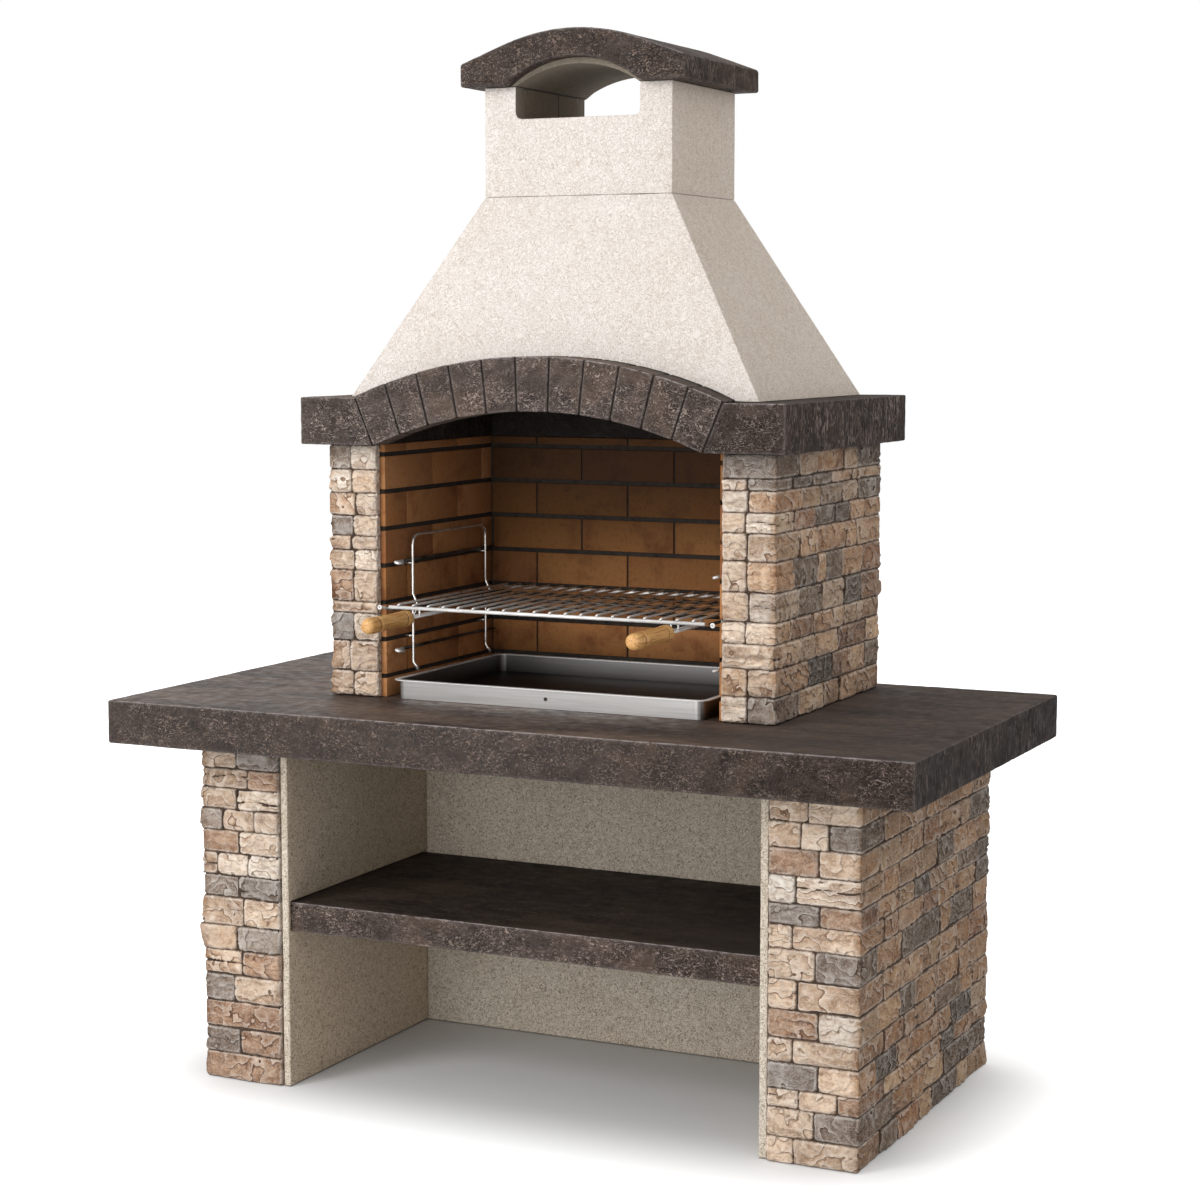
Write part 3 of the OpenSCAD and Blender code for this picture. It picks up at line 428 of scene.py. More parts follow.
# Face, top and end tones: the worktop's lighter top is a painted sheen; its darker ends, the cap's darker
# ends and the shelf's dark top are painted shade
dark_stone = dark_stone_finish("dark_cast_stone", 0.72, 0.3, "b3aca8", "b4aca6", "b0a8a4")
cap_stone = dark_stone_finish("cap_cast_stone", 0.72, 0.3, "b7aca4", "b4aca6", "978a7f")
arch_stone = dark_stone_finish("arch_cast_stone", 0.72, 0.3, "d8d1cd", "d8d0ca", "c8c0bb")
sealed_stone = dark_stone_finish("sealed_cast_stone", 0.5, 0.25, "b0a69f", "cfc5bf", "7d7571")
shelf_stone = dark_stone_finish("shelf_cast_stone", 0.7, 0.25, "d2cac5", "89817a", "cfc7c2")
firebrick = firebrick_finish()
dark_mortar = mortar_finish("dark_mortar", "1d1915", "39312a")
pointing = mortar_finish("pointing_mortar", "2a1f18", "4b3a2d")
chrome_wire = wire_finish("plated_wire", "d6d4d1", "f8f7f5", 0.3, 0.2)
hoop_wire = wire_finish("hoop_wire", "c2bfbb", "efedea", 0.2, 0.8)
hazed_wire = wire_finish("smoked_wire", "29241f", "564f48", 0.4, 0.7)
sheet_steel = sheet_steel_finish()
beech = beech_finish()


# Turning CAD nodes into dressed pieces

def merged_copy(node):
    """A closed copy of a CAD node's loose triangles, flat faces joined to one."""
    shell = bmesh.new()
    shell.from_mesh(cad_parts[node].data)
    bmesh.ops.remove_doubles(shell, verts=shell.verts, dist=2e-6)
    bmesh.ops.dissolve_limit(shell, angle_limit=math.radians(1), use_dissolve_boundaries=False,
                             verts=shell.verts, edges=shell.edges)
    return shell


def islands(shell):
    """The separate solids of a mesh in the mesh's own order, each as a list of its vertices."""
    left, found = set(shell.verts), []
    for first in shell.verts:
        if first not in left:
            continue
        left.discard(first)
        stack = [first]
        group = []
        while stack:
            vertex = stack.pop()
            group.append(vertex)
            for edge in vertex.link_edges:
                other = edge.other_vert(vertex)
                if other in left:
                    left.discard(other)
                    stack.append(other)
        found.append(group)
    return found


def extent(points):
    low = Vector([min(p[i] for p in points) for i in range(3)])
    high = Vector([max(p[i] for p in points) for i in range(3)])
    return low, high


def finish_piece(shell, name, material, body, replaces=(), smooth=True):
    """Puts a mesh into the scene as a piece of a body, in the place of the CAD nodes that it dresses."""
    mesh = bpy.data.meshes.new(name)
    shell.normal_update()
    shell.to_mesh(mesh)
    shell.free()
    mesh.polygons.foreach_set("use_smooth", [smooth] * len(mesh.polygons))
    mesh.materials.append(material)
    piece = bpy.data.objects.new(name, mesh)
    bpy.context.scene.collection.objects.link(piece)
    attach(piece, body)
    if replaces:
        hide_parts(*replaces)


def split_to_grid(shell, step):
    """Cuts every edge that lies along an axis into lengths of about step, which leaves a square grid."""
    for axis in range(3):
        by_cuts = {}
        for edge in shell.edges:
            along = edge.verts[1].co - edge.verts[0].co
            if abs(along[axis]) > 0.98 * along.length:
                cuts = round(along.length / step + 0.013) - 1
                if cuts > 0:
                    by_cuts.setdefault(cuts, []).append(edge)
        for cuts, edges in by_cuts.items():
            bmesh.ops.subdivide_edges(shell, edges=edges, cuts=cuts, use_grid_fill=True)


# Cladding stones

TONES = {
    "t": "dac4ae", "l": "e7d5c2", "c": "eee2d4", "b": "b6967c", "g": "938a84", "h": "aea399",
    "o": "dcbc9d", "p": "ccb39b", "d": "7e7672", "w": "d4c9be",
}
# From the bottom course up, outer stone then inner stones, as they are seen from the front
FRONT_TONES = {
    "left_leg": ["bb", "gt", "bb", "gh", "tl", "pg", "tc", "hl", "tt", "bc", "hb", "tg", "tt", "tt"],
    "right_leg": ["tt", "gt", "btt", "tg", "tt", "wb", "tt", "gt", "tt", "bg", "cc", "tb", "gtt", "tt"],
    "left_jamb": ["tt", "tt", "gl", "tt", "bc", "tt", "tt", "gt", "tt", "cc", "hg"],
    "right_jamb": ["gc", "po", "ll", "lt", "wt", "ot", "tt", "cc", "ol", "gc", "gg"],
}
# How much painted shade darkens the stones round the sides, and warms them, by the end of the wall's name
SIDE_SHADE = {"_leg": 0.49, "jamb": 0.29}
# The least light of a stone and how much more it may have: elsewhere, round the sides, and the greys there
LIGHT, SIDE_LIGHT, SIDE_GREY_LIGHT = (0.9, 0.2), (0.82, 0.4), (0.56, 0.4)
# The grids that the stones are cut to, and how far their beds and ends close up on their neighbours
SIDE_GRID, FRONT_GRID = 0.0042, 0.0036
BED_CLOSE, END_CLOSE = 0.0020, 0.0030
# How far a stone's face may stand out of its CAD block's
FACE_LIMIT = 0.0045


def pick(seed):
    """A fixed number from 0 to 1 for a stone."""
    return (math.sin(seed * 127.1 + 311.7) * 43758.5453) % 1.0


def tone_of(wall, kind, course, place, seed):
    if kind != "side":
        row = FRONT_TONES[wall][min(course, len(FRONT_TONES[wall]) - 1)]
        return row[min(place, len(row) - 1)]
    return "ttlgtphtgcltbgdtlgtohwtc"[int(pick(seed) * 24)]


def chisel_planes(seed):
    """Six tilted planes per stone, as (slopes, height in mm); the lowest of them at a place is its face."""
    planes = []
    for k in range(6):
        turn = [pick(seed + 0.13 + 0.71 * k + 1.9 * axis) - 0.5 for axis in range(3)]
        slopes = Vector((200 * turn[0], 200 * turn[1], 420 * turn[2]))
        planes.append((slopes, 0.4 + 2.6 * pick(seed + 0.37 * k)))
    return planes


def ledges(point, seed):
    """Where a point lies in the ledges of a split face: each whole number is the foot of a ledge."""
    shift = Vector((seed * 1.7, seed * 0.9, seed * 2.3))
    wander = 1.8 * noise.noise(point / 0.065 + shift) + 0.6 * noise.noise(point / 0.025 - shift)
    return wander + 0.3 * noise.noise(point / 0.012 + 2 * shift) - 21.0 * point.z


def cleave(point, middle, planes, seed, ledge):
    """How far a split face stands out at a point, in millimetres: flakes that meet in crests, with ledges."""
    shift = Vector((seed * 1.7, seed * 0.9, seed * 2.3))
    bend = 0.010 * noise.noise(point / 0.035 + shift)
    off = point - middle + Vector((bend, bend, 0.6 * bend))
    flake = min(slopes.dot(off) + height for slopes, height in planes)
    # a ledge stands out further down to its foot, and is undercut there
    part = ledge % 1.0
    shelf = 3.2 * (part ** 1.5 if part > 0.1 else 0.0) - 1.6
    return max(-4.0, 0.75 * flake + shelf + 0.7 * noise.noise(point / 0.011 + 3 * shift))


def outline_gap(across, up, sides, beds, turn):
    """How far a point of a face is inside its outline, a rectangle whose corners are rounded to turn."""
    off = (abs(across - (sides[0] + sides[1]) / 2) - (sides[1] - sides[0]) / 2 + turn,
           abs(up - (beds[0] + beds[1]) / 2) - (beds[1] - beds[0]) / 2 + turn)
    return turn - math.hypot(max(off[0], 0), max(off[1], 0)) - min(max(off), 0)


def clad(wall, kind):
    """A run of cladding stones, each split from its CAD block: cleaved outside, plain where it is bedded."""
    node = f"{wall}_{kind}_stones"
    shell = merged_copy(node)
    side = -1 if wall.startswith("left") else 1
    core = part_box("base_" + wall if wall.endswith("leg") else wall)
    front = core[0].y + (0.010 if wall.endswith("leg") else 0.0)
    outer = core[1].x if side > 0 else core[0].x
    if kind == "corner":
        # the two arms of a corner stone are cut apart, so that a square grid fits on each
        for group in islands(shell):
            faces = list(dict.fromkeys(f for v in group for f in v.link_faces))
            edges = list(dict.fromkeys(e for v in group for e in v.link_edges))
            cut = bmesh.ops.bisect_plane(shell, geom=group + edges + faces, plane_co=(outer, 0, 0),
                                         plane_no=(1, 0, 0))
            geometry = [g for g in cut["geom"] if g.is_valid]
            bmesh.ops.bisect_plane(shell, geom=geometry, plane_co=(0, front, 0), plane_no=(0, 1, 0))
    split_to_grid(shell, SIDE_GRID if kind == "side" else FRONT_GRID)
    colour_layer = shell.verts.layers.float_color.new("stone_colour")
    relief_layer = shell.verts.layers.float.new("relief")
    number_layer = shell.verts.layers.float.new("stone_number")
    gap_layer = shell.verts.layers.float.new("edge_gap")
    ledge_layer = shell.verts.layers.float.new("ledges")
    stones = [(*extent([v.co for v in group]), group) for group in islands(shell)]
    inner_end = min(abs(c.x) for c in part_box(f"{wall}_front_stones"))
    rear_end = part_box(f"{wall}_side_stones")[1].y
    courses = sorted({round(s[0].z, 3) for s in stones})
    for low, high, group in stones:
        course = courses.index(round(low.z, 3))
        middle = (low + high) / 2
        seed = int(abs(middle.x * 7919 + middle.y * 6151 + middle.z * 4721)) % 997 + 1 + course
        # a corner stone is first in its course, and the front stones follow from outside to inside
        place = 0
        if kind == "front":
            row = [s for s in stones if abs(s[0].z - low.z) < 0.002]
            row.sort(key=lambda s: -side * (s[0].x + s[1].x))
            place = row.index((low, high, group)) + 1
        letter = tone_of(wall, kind, course, place, seed + middle.y * 31)
        tone = hex_colour(TONES[letter])
        least, more = LIGHT
        if kind == "side":
            least, more = SIDE_GREY_LIGHT if letter in "gdh" else SIDE_LIGHT
        light = least + more * pick(seed + 0.37)
        warm = 0.97 + 0.06 * pick(seed + 0.71)
        tone = (tone[0] * light * warm, tone[1] * light, tone[2] * light / warm, 1)
        cracked = pick(seed + 0.53) < 0.3
        crack = low.z + (high.z - low.z) * (0.3 + 0.45 * pick(seed + 0.19))
        radius = (1.6 + 1.8 * pick(seed + 0.11)) * MM
        turn = (5.0 + 4.0 * pick(seed + 0.29)) * MM
        beds = (low.z, high.z)
        # a corner stone's faces run on past the arris, so that they have no rim there
        past = 0.05 if kind == "corner" else 0.0
        front_sides = (low.x - (past if side < 0 else 0), high.x + (past if side > 0 else 0))
        planes = chisel_planes(seed)
        edge_x = high.x if side > 0 else low.x
        shade = SIDE_SHADE[wall[-4:]]
        for v in group:
            v[number_layer] = pick(seed + 0.83) * 40
            p = v.co.copy()
            v[ledge_layer] = ledges(p, seed)
            # 1 on the outer face in front or at the side, and less towards the wall's core
            out_front = out_side = 0.0
            if kind == "front" or (kind == "corner" and p.y <= front - 1e-5):
                out_front = min(1.0, max(0.0, (front - p.y) / max(1e-6, front - low.y)))
            if kind == "side" or (kind == "corner" and side * (p.x - outer) >= 1e-5):
                out_side = min(1.0, max(0.0, side * (p.x - outer) / max(1e-6, side * (edge_x - outer))))
            if out_front < 0.02 and out_side < 0.02:
                v[colour_layer] = tone
                v[relief_layer] = 0.2
                continue
            # painted shade on the faces that look sideways: darker, and more so in green and blue, which
            # warms them
            v[colour_layer] = [c * (1 - (shade + 0.13 * k) * out_side) for k, c in enumerate(tone[:3])] + [1]
            ragged = radius * (1 + 0.8 * noise.noise(p / 0.016 + Vector((seed, 0, 0))))
            gap = 1.0
            if out_front > 0.98:
                gap = outline_gap(p.x, p.z, front_sides, beds, turn)
            if out_side > 0.98:
                gap = min(gap, outline_gap(p.y, p.z, (low.y - past, high.y), beds, turn))
            if gap == 1.0:
                gap = 0.0
            shown = (gap + 0.0008 * noise.noise(p / 0.01)) / 0.012
            # the ends of a run show their sides, which are stone and not joint
            if min(abs(abs(p.x) - inner_end), abs(p.y - rear_end)) < 0.0025:
                shown = max(shown, 0.2)
            v[gap_layer] = min(1.0, max(0.0, shown))
            inward = max(0.0, -gap) * 1.6
            if gap < ragged:
                inward += ragged - math.sqrt(max(0.0, ragged ** 2 - (ragged - max(gap, 0)) ** 2))
            lift = cleave(p, middle, planes, seed, v[ledge_layer] + 0.15) * MM
            if cracked:
                line = crack + 0.006 * noise.noise(Vector((p.x / 0.05, p.y / 0.05, seed)))
                lift -= 0.0035 * math.exp(-((p.z - line) / 0.0022) ** 2)
            moved = min(lift - inward - 0.0004, FACE_LIMIT)
            v[relief_layer] = min(1.0, max(0.0, 0.52 + moved / 0.011))
            v.co.y -= out_front * moved
            v.co.x += side * out_side * moved
            # the bed and end faces wander a little and close up on their neighbours, for thin joints
            wander = 0.0008 * noise.noise(p / 0.02 + Vector((0, seed, 0)))
            if high.z - p.z < 1e-5 and course < len(courses) - 1:
                v.co.z += wander + BED_CLOSE
            if p.z - low.z < 1e-5 and course > 0:
                v.co.z += wander - BED_CLOSE
            if kind == "front" and side * (p.x - middle.x) > (high.x - low.x) / 2 - 1e-5:
                v.co.x += side * END_CLOSE
            if kind == "side" and middle.y - p.y > (high.y - low.y) / 2 - 1e-5:
                v.co.y -= END_CLOSE
    finish_piece(shell, node.replace("stones", "cladding"), cladding, "masonry", [node])


def point_up(wall):
    """The mortar behind and between the cladding stones of a wall, a few millimetres below their faces."""
    core_low, core_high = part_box("base_" + wall if wall.endswith("leg") else wall)
    side = -1 if wall.startswith("left") else 1
    blocks = bmesh.new()
    blocks.from_mesh(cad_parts[wall + "_corner_stones"].data)
    bmesh.ops.remove_doubles(blocks, verts=blocks.verts, dist=2e-6)
    corners = [extent([v.co for v in group]) for group in islands(blocks)]
    blocks.free()
    face_y = max(low.y for low, high in corners) + 0.005
    face_x = min(max(abs(low.x), abs(high.x)) for low, high in corners) - 0.005
    stones = [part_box(f"{wall}_{kind}_stones") for kind in ("corner", "front", "side")]
    stones_end = min(abs(corner.x) for corner in stones[1])
    core_end = min(abs(core_low.x), abs(core_high.x))
    inner = max(stones_end + 0.003, core_end + 0.002)
    far = core_high.y - 0.002
    foot, top = min(low.z for low, high in stones) + 0.001, max(high.z for low, high in stones) - 0.001
    bed = bmesh.new()
    bmesh.ops.create_cube(bed, size=1)
    for v in bed.verts:
        v.co = Vector((side * (face_x if v.co.x * side > 0 else inner), face_y if v.co.y < 0 else far,
                       foot if v.co.z < 0 else top))
    finish_piece(bed, wall + "_pointing", pointing, "masonry", smooth=False)


for wall in FRONT_TONES:
    for kind in ("corner", "front", "side"):
        clad(wall, kind)
    point_up(wall)


# Firebricks

BRICK_TONES = ["9e6c3f", "a37146", "926338", "9d6d41", "aa784c", "8b5c36"]


def lay_firebricks(node):
    """A wall of firebricks, each in its own tone, in painted light and shade by height: paler low down,
    darker and sootier up under the hood, and on the back wall darker at its foot too, as a painted
    contact shadow.
    """
    shell = merged_copy(node)
    tone_layer = shell.verts.layers.float_color.new("stone_colour")
    for number, group in enumerate(islands(shell)):
        tone = hex_colour(BRICK_TONES[int(pick(number * 3.1 + len(node)) * 6)])
        for v in group:
            # 0 at the grill and 1 at the arch
            height = min(1.0, max(0.0, (v.co.z - 0.90) / 0.46))
            # painted light and shade by height: paler low down and darker upward, together with soot
            soot_and_shade = 1.3 - 0.35 * height
            if node == "back_firebricks":
                # the back wall also darkens at its foot above the pan, a painted contact shadow
                soot_and_shade = max(0.22, min(1.28, 0.62 + 5.0 * height, 1.5 - 1.75 * height))
            # this tint carries the soot and the painted light and shade, dimming blue the most
            sooty = (soot_and_shade, soot_and_shade ** 1.12, soot_and_shade ** 1.8) if soot_and_shade < 1 else (soot_and_shade, soot_and_shade, soot_and_shade)
            v[tone_layer] = [c * part for c, part in zip(tone, sooty)] + [1]
    bmesh.ops.bevel(shell, geom=shell.edges[:], offset=0.0016, offset_type="OFFSET", affect="EDGES",
                    segments=2, profile=0.5, material=-1)
    finish_piece(shell, node.replace("firebricks", "brick_lining"), firebrick, "masonry", [node])


for node in ("back_firebricks", "left_firebricks", "right_firebricks"):
    lay_firebricks(node)


# Cast stone and render pieces, with soft arrises

# How far in from the outer edges a casting is worn
WORN = 0.014


def slice_along(shell, axis, step):
    """Cuts the whole shell by planes across one axis, about step apart."""
    low, high = extent([v.co for v in shell.verts])
    count = max(1, round((high[axis] - low[axis]) / step))
    for k in range(1, count):
        point = Vector((0, 0, 0))
        point[axis] = low[axis] + (high[axis] - low[axis]) * k / count
        direction = Vector((0, 0, 0))
        direction[axis] = 1
        bmesh.ops.bisect_plane(shell, geom=shell.verts[:] + shell.edges[:] + shell.faces[:], dist=1e-6,
                               plane_co=point, plane_no=direction)


def cast(nodes, name, material, slot, radius, steps, uneven, shell=None):
    """A cast piece from its CAD solid, or from a shell that stands for several: arrises rounded to radius,
    faces a little uneven, and an arris value that is 1 along the outer edges."""
    nodes = [nodes] if isinstance(nodes, str) else nodes
    shell = shell or merged_copy(nodes[0])
    sharp = math.radians(25)
    edges = [e for e in shell.edges if len(e.link_faces) == 2 and e.calc_face_angle(0) > sharp]
    line = [(e.verts[0].co.copy(), e.verts[1].co.copy()) for e in edges if e.is_convex]
    bmesh.ops.bevel(shell, geom=edges, offset=radius, offset_type="OFFSET", affect="EDGES",
                    segments=3, profile=0.5, material=-1, clamp_overlap=True)
    for axis, step in enumerate(steps):
        if step:
            slice_along(shell, axis, step)
    spots = []
    for a, b in line:
        count = max(1, int((b - a).length / 0.006))
        spots += [a.lerp(b, k / count) for k in range(count + 1)]
    tree = kdtree.KDTree(max(1, len(spots)))
    for index, spot in enumerate(spots):
        tree.insert(spot, index)
    tree.balance()
    arris = shell.verts.layers.float.new("arris")
    shell.normal_update()
    for v in shell.verts:
        distance = tree.find(v.co)[2] if spots else 1.0
        near = max(0.0, 1.0 - (distance or 0.0) / WORN)
        v[arris] = near
        wave = noise.noise(v.co / 0.05) + 0.5 * noise.noise(v.co / 0.018)
        chip = max(0.0, noise.noise(v.co / 0.012 + Vector((7, 3, 1))) - 0.15)
        v.co += v.normal * (uneven * (0.5 * wave - 0.5) - 2.2 * uneven * near * chip)
    finish_piece(shell, name, material, "masonry", nodes)


# Each as its node, its piece, its finish, the radius of its arrises, the steps of its grid and its unevenness
CASTINGS = [
    ("worktop", "worktop_slab", sealed_stone, 0.005, (0.014, 0.014, 0.012), 0.0009),
    ("shelf", "shelf_slab", shelf_stone, 0.003, (0.014, 0.02, 0.012), 0.0010),
    ("mantel_left_beam", "mantel_left_block", arch_stone, 0.007, (0.012, 0.012, 0.012), 0.0010),
    ("mantel_right_beam", "mantel_right_block", dark_stone, 0.007, (0.012, 0.012, 0.012), 0.0010),
    ("mantel_back_beam", "mantel_back_block", dark_stone, 0.005, (0.02, 0.02, 0.02), 0.0008),
    ("chimney_cap", "chimney_cap_stone", cap_stone, 0.006, (0.012, 0.012, 0.012), 0.0010),
]
for k in range(1, 12):
    names = f"voussoir_{k:02d}", f"arch_stone_{k:02d}"
    CASTINGS.append((*names, arch_stone, 0.004, (0.010, 0.012, 0.010), 0.0007))
for node, name, material, *sizes in CASTINGS:
    cast(node, name, material, "dark_cast_stone", *sizes)


def hood_shell():
    """The hollow hood in one casting: a tapered block, its foot and top joined by an inner wall."""
    walls = [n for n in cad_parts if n.startswith("hood")]
    low, high = extent([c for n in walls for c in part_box(n)])
    shell = bmesh.new()
    bmesh.ops.create_cube(shell, size=1)
    for v in shell.verts:
        a, b = (neck_low, neck_high) if v.co.z > 0 else (low, high)
        v.co = Vector((a.x if v.co.x < 0 else b.x, a.y if v.co.y < 0 else b.y,
                       high.z if v.co.z > 0 else low.z))
    shell.normal_update()
    ends = [f for f in shell.faces if abs(f.normal.z) > 0.99]
    for end in ends:
        bmesh.ops.inset_region(shell, faces=[end], thickness=0.04, use_even_offset=True)
    rims = [e for f in ends for e in f.edges]
    bmesh.ops.delete(shell, geom=ends, context="FACES_ONLY")
    bmesh.ops.bridge_loops(shell, edges=rims)
    bmesh.ops.recalc_face_normals(shell, faces=shell.faces)
    return walls, shell


walls, shell = hood_shell()
cast(walls, "hood_shell", cream_render, "cream_concrete", 0.002, (0.03, 0.03, 0.03), 0.0006, shell=shell)
cast("chimney_neck", "chimney_neck_block", cream_render, "cream_concrete", 0.002, (0.03, 0.03, 0.03), 0.0005)
for node in ("base_left_leg", "base_right_leg"):
    cast(node, node + "_block", bay_render, "cream_concrete", 0.003, (0, 0.03, 0.03), 0.0006)
cast("base_back_panel", "base_back_slab", bay_render, "cream_concrete", 0.003, (0.05, 0, 0.05), 0.0005)

# These nodes show as they are
SHOWN = ((cream_render, "left_jamb right_jamb firebox_back_panel"), (lining_concrete, "flue_lining"),
         (dark_mortar, "back_brick_mortar left_brick_mortar right_brick_mortar arch_mortar"),
         (sheet_steel, "ash_pan"), (hazed_wire, "pan_rivet"))
for material, nodes in SHOWN:
    for node in nodes.split():
        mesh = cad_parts[node].data
        mesh.materials.clear()
        mesh.materials.append(material)


# Wires: each run is one bent rod

def bent(points, radii):
    """The points of a wire's route with each corner bent round to its radius."""
    points = [Vector(p) for p in points]
    route = [points[0]]
    for before, corner, after, radius in zip(points, points[1:], points[2:], radii):
        into = (before - corner).normalized()
        away = (after - corner).normalized()
        half = into.angle(away) / 2
        if half > math.radians(89):
            route.append(corner)
            continue
        reach = min(radius / math.tan(half), 0.48 * (before - corner).length, 0.48 * (after - corner).length)
        start, end = corner + into * reach, corner + away * reach
        for k in range(9):
            t = k / 8
            route.append(start.lerp(corner, t).lerp(corner.lerp(end, t), t))
    return route + [points[-1]]


def wire_piece(name, runs, body, replaces, bend=6.0, material=None):
    """Bent wires of one piece: runs are (radius in mm, points in mm, the bends' radii where they differ)."""
    parts = bmesh.new()
    for radius, points, *turns in runs:
        curve = bpy.data.curves.new(name + "_run", "CURVE")
        curve.dimensions = "3D"
        curve.bevel_depth = radius * MM
        curve.bevel_resolution = 3
        curve.use_fill_caps = True
        route = bent(points, turns[0] if turns else [bend] * (len(points) - 2))
        spline = curve.splines.new("POLY")
        spline.points.add(len(route) - 1)
        for point, target in zip(spline.points, route):
            point.co = (*(target * MM), 1)
        run = bpy.data.objects.new(name + "_run", curve)
        bpy.context.scene.collection.objects.link(run)
        bpy.context.view_layer.update()
        made = bpy.data.meshes.new_from_object(run.evaluated_get(bpy.context.evaluated_depsgraph_get()))
        parts.from_mesh(made)
        bpy.data.objects.remove(run)
        bpy.data.curves.remove(curve)
        bpy.data.meshes.remove(made)
    bmesh.ops.remove_doubles(parts, verts=parts.verts, dist=1e-6)
    finish_piece(parts, name, material or chrome_wire, body, replaces)


def in_mm(node):
    """The corners of a node's box, in millimetres."""
    low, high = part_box(node)
    return low * 1000, high * 1000


# Heights in millimetres: the kinks with the middle rail, and the mortar joints that hold the pegs
KINK_AT, PEGS_AT = 1031.45, (965.25, 1124.25)
# The y, in millimetres, where the top and bottom rails end in their bent tips
RAIL_END = -128


def support_side(side, label):
    """The wire hoop with its kinked legs and pegs, and the three rails, the middle one ending in an eye."""
    low, high = in_mm(label + "_support_frame")
    rails_low, rails_high = in_mm(label + "_support_rails")
    wire, peg = 3.25, 2.5
    wall = max(abs(low.x), abs(high.x))
    kink = min(abs(low.x), abs(high.x)) + wire
    x = wall - 22
    fore, aft = low.y + wire, high.y - wire
    top, foot = high.z - wire, low.z + 2
    mid, half = KINK_AT, 26
    hoop = [(kink, foot), (x, foot + 15), (x, mid - half), (kink, mid), (x, mid + half), (x, top)]
    # six points up, six down, which leaves ten corners
    path = [(side * a, fore, z) for a, z in hoop] + [(side * a, aft, z) for a, z in reversed(hoop)]
    runs = [(wire, path, [14, 10, 8, 10, 28, 28, 10, 8, 10, 14])]
    for y in (fore, aft):
        for z in PEGS_AT:
            runs.append((peg, [(side * x, y, z), (side * wall, y, z)]))
    wire_piece(label + "_hoop", runs, "masonry", [label + "_support_frame"], bend=14, material=hoop_wire)
    rail, middle, eye = x + 2 * wire, min(abs(rails_low.x), abs(rails_high.x)) + wire, wall - 6
    back, front = rails_high.y, rails_low.y
    runs = []
    tips = []
    for z in (rails_low.z + wire, rails_high.z - wire):
        runs.append((wire, [(side * rail, back, z), (side * rail, RAIL_END, z)]))
        tips.append((3.0, [(side * rail, RAIL_END - 2, z), (side * rail, RAIL_END - 35, z),
                           (side * (rail - 9), RAIL_END - 38, z - 2),
                           (side * (rail - 12), RAIL_END - 20, z - 3)], [5, 5]))
    eye_z = mid + 6.55
    runs.append((wire, [(side * middle, back, mid), (side * middle, front + 70, mid),
                        (side * (eye - 12), front + 32, mid)]))
    tips.append((wire, [(side * (eye - 12), front + 32, mid), (side * eye, front + 8, eye_z),
                        (side * eye, front + 4, eye_z)]))
    ring = [math.tau * k / 16 for k in range(17)]
    tips.append((1.6, [(side * eye + 3.9 * math.cos(a), front + 1.8, eye_z + 3.9 * math.sin(a))
                       for a in ring]))
    wire_piece(label + "_rails", runs, "masonry", [label + "_support_rails"], bend=8, material=hazed_wire)
    wire_piece(label + "_rail_tips", tips, "masonry", [label + "_support_rails"], bend=4)


support_side(-1, "left")
support_side(1, "right")


def grill_and_handles():
    """The grill's rods and bars, and the pair of wires for each grip, from the sizes of their solids."""
    low, high = in_mm("grill_frame_rods")
    bars_low, bars_high = in_mm("grill_bars")
    rod, bar, level = (high.z - low.z) / 2, (bars_high.z - bars_low.z) / 2, (high.z + low.z) / 2
    fore, aft = low.y + rod, high.y - rod
    cross = [fore + (aft - fore) * k / 4 for k in range(1, 5)]
    outer = bars_high.x + 1
    runs = [(rod, [(low.x, fore, level), (high.x, fore, level)]),
            (rod, [(-outer, aft, level), (outer, aft, level)])]
    wire_piece("grill_rods", runs, "grill", ["grill_frame_rods"])
    runs = [(rod, [(-outer, y, level), (outer, y, level)]) for y in cross[:3]]
    wire_piece("grill_cross_rods", runs, "grill", ["grill_frame_rods"], material=hazed_wire)
    first, last = bars_low.x + bar, bars_high.x - bar
    top = bars_high.z - bar
    runs = []
    for k in range(20):
        x = first + (last - first) * k / 19
        runs.append((bar, [(x, bars_high.y, top), (x, fore + 3, top), (x, fore - 4.5, top - 1.4)]))
    wire_piece("grill_wires", runs, "grill", ["grill_bars"], bend=5)
    for label in ("left", "right"):
        grip_low, grip_high = in_mm(label + "_handle_grip")
        middle, height = (grip_low.x + grip_high.x) / 2, (grip_low.z + grip_high.z) / 2
        runs = []
        for x in (middle - 8, middle + 8):
            runs.append((2.5, [(x, grip_high.y - 40, height), (x, cross[0] - 20, height),
                               (x, cross[0], level - rod - 2.5)]))
            runs.append((2.0, [(x, fore, height), (x, fore, level - rod)]))
        wire_piece(label + "_handle_rods", runs, "grill", [label + "_handle_wires"], bend=10)


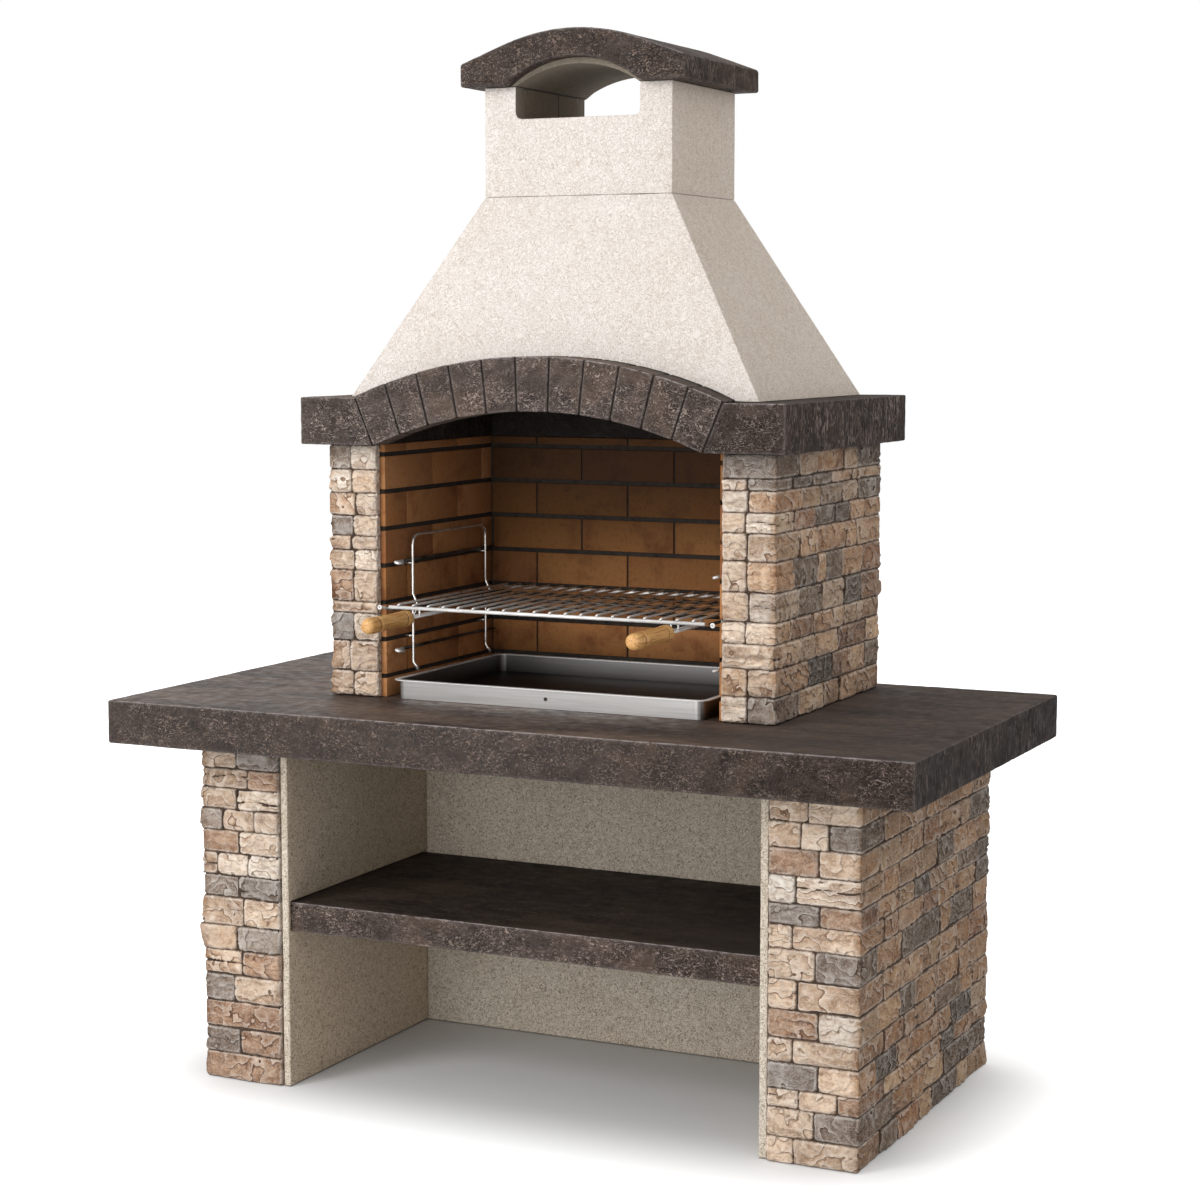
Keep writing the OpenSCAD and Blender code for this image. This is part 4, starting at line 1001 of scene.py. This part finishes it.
def turn_grip(label):
    """A turned grip: ring grooves near both ends and a rounded nose, spun about its own axis."""
    # (share of the length, share of the radius, groove depth) from the rear end to the nose
    profile = [(0, 0, 0), (0, 0.74, 0), (0.008, 0.86, 0), (0.02, 0.94, 0), (0.04, 0.99, 0), (0.12, 1, 0),
               (0.137, 0.98, 0), (0.143, 0.91, 1), (0.148, 0.885, 1), (0.153, 0.91, 1), (0.16, 0.96, 0),
               (0.18, 0.97, 0), (0.3, 0.92, 0), (0.5, 0.895, 0), (0.67, 0.92, 0), (0.765, 0.965, 0),
               (0.773, 0.9, 1), (0.778, 0.875, 1), (0.783, 0.9, 1), (0.791, 0.965, 0), (0.82, 0.985, 0),
               (0.9, 0.975, 0), (0.935, 0.93, 0), (0.963, 0.82, 0), (0.984, 0.62, 0), (0.995, 0.37, 0),
               (0.999, 0.15, 0), (1, 0, 0)]
    low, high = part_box(label + "_handle_grip")
    centre = (low + high) / 2
    radius, length = (high.z - low.z) / 2, high.y - low.y
    grip = bmesh.new()
    groove = grip.verts.layers.float.new("groove")
    points = []
    for along, out, depth in profile:
        v = grip.verts.new((centre.x + out * radius, high.y - along * length, centre.z))
        v[groove] = depth
        points.append(v)
    edges = [grip.edges.new(pair) for pair in zip(points, points[1:])]
    bmesh.ops.spin(grip, geom=points + edges, cent=centre, axis=(0, 1, 0), angle=math.tau, steps=40,
                   use_merge=True)
    bmesh.ops.remove_doubles(grip, verts=grip.verts, dist=1e-6)
    bmesh.ops.recalc_face_normals(grip, faces=grip.faces)
    finish_piece(grip, label + "_turned_grip", beech, "grill", [label + "_handle_grip"])


grill_and_handles()
turn_grip("left")
turn_grip("right")


# Floor, light and camera

# How much white the floor adds under the object and away from it, and how brightly the surroundings light it
FLOOR_LIFT = (0.0, 0.8)
SKY = 0.76


def lay_floor():
    """A plain white studio floor. It adds a little white for the camera, to fade into the background."""
    plane = bmesh.new()
    bmesh.ops.create_grid(plane, x_segments=1, y_segments=1, size=14)
    mesh = bpy.data.meshes.new("studio_floor")
    plane.to_mesh(mesh)
    plane.free()
    floor = bpy.data.objects.new("studio_floor", mesh)
    bpy.context.scene.collection.objects.link(floor)
    mat = new_finish("studio_white", 0.9)
    tint = mat.grain(mat.place(), 400, 2)
    tint = mat.steps(tint, (0.0, "dadada"), (1.0, "dedede"))
    mat.surface(Base_Color=tint)
    spot = mat.spot()
    gaps = []
    for axis, half, middle in (("X", 0.62, 0.0), ("Y", 0.25, 0.05)):
        off = mat.maths("ABSOLUTE", mat.maths("SUBTRACT", spot[axis], middle))
        off = mat.maths("MAXIMUM", mat.maths("SUBTRACT", off, half), 0.0)
        gaps.append(mat.maths("POWER", off, 2.0))
    away = mat.maths("SQRT", mat.maths("ADD", *gaps))
    lift = mat.slope(away, 0.0, 0.5, *FLOOR_LIFT, "SMOOTHSTEP")
    mat.surface(Emission_Color=(1, 1, 1, 1), Emission_Strength=mat.product(mat.looked_at(), lift))
    mesh.materials.append(mat.owner)


lay_floor()

world = bpy.data.worlds.new("studio")
bpy.context.scene.world = world
sky = Finish(world)
backdrop = sky.tree.nodes["Background"].inputs
sky.feed(backdrop["Color"], (1, 1, 1, 1))
sky.feed(backdrop["Strength"], sky.slope(sky.looked_at(), 0.0, 1.0, SKY, 1.0))


def soft_lamp(name, place, target, size, power):
    light = bpy.data.lights.new(name, "AREA")
    light.shape = "DISK"
    light.size = size
    light.energy = power
    lamp = bpy.data.objects.new(name, light)
    lamp.location = place
    lamp.rotation_euler = (Vector(target) - Vector(place)).to_track_quat("-Z", "Y").to_euler()
    bpy.context.scene.collection.objects.link(lamp)


soft_lamp("key", (-2.9, -5.2, 4.0), (0, 0, 1.2), 2.6, 172)
soft_lamp("front_fill", (-0.8, -6.2, 1.5), (0, 0, 0.9), 3.2, 95)

camera = bpy.data.cameras.new("camera")
camera.lens = 76.04
camera.sensor_width = 36
camera.clip_end = 60
viewer = bpy.data.objects.new("camera", camera)
viewer.location = (2.368, -4.855, 1.635)
yaw, pitch = math.radians(-25.68), math.radians(-6.17)
look = Vector((math.sin(yaw) * math.cos(pitch), math.cos(yaw) * math.cos(pitch), math.sin(pitch)))
viewer.rotation_euler = look.to_track_quat("-Z", "Y").to_euler()
bpy.context.scene.collection.objects.link(viewer)
bpy.context.scene.camera = viewer
bpy.context.scene.view_settings.view_transform = "Standard"
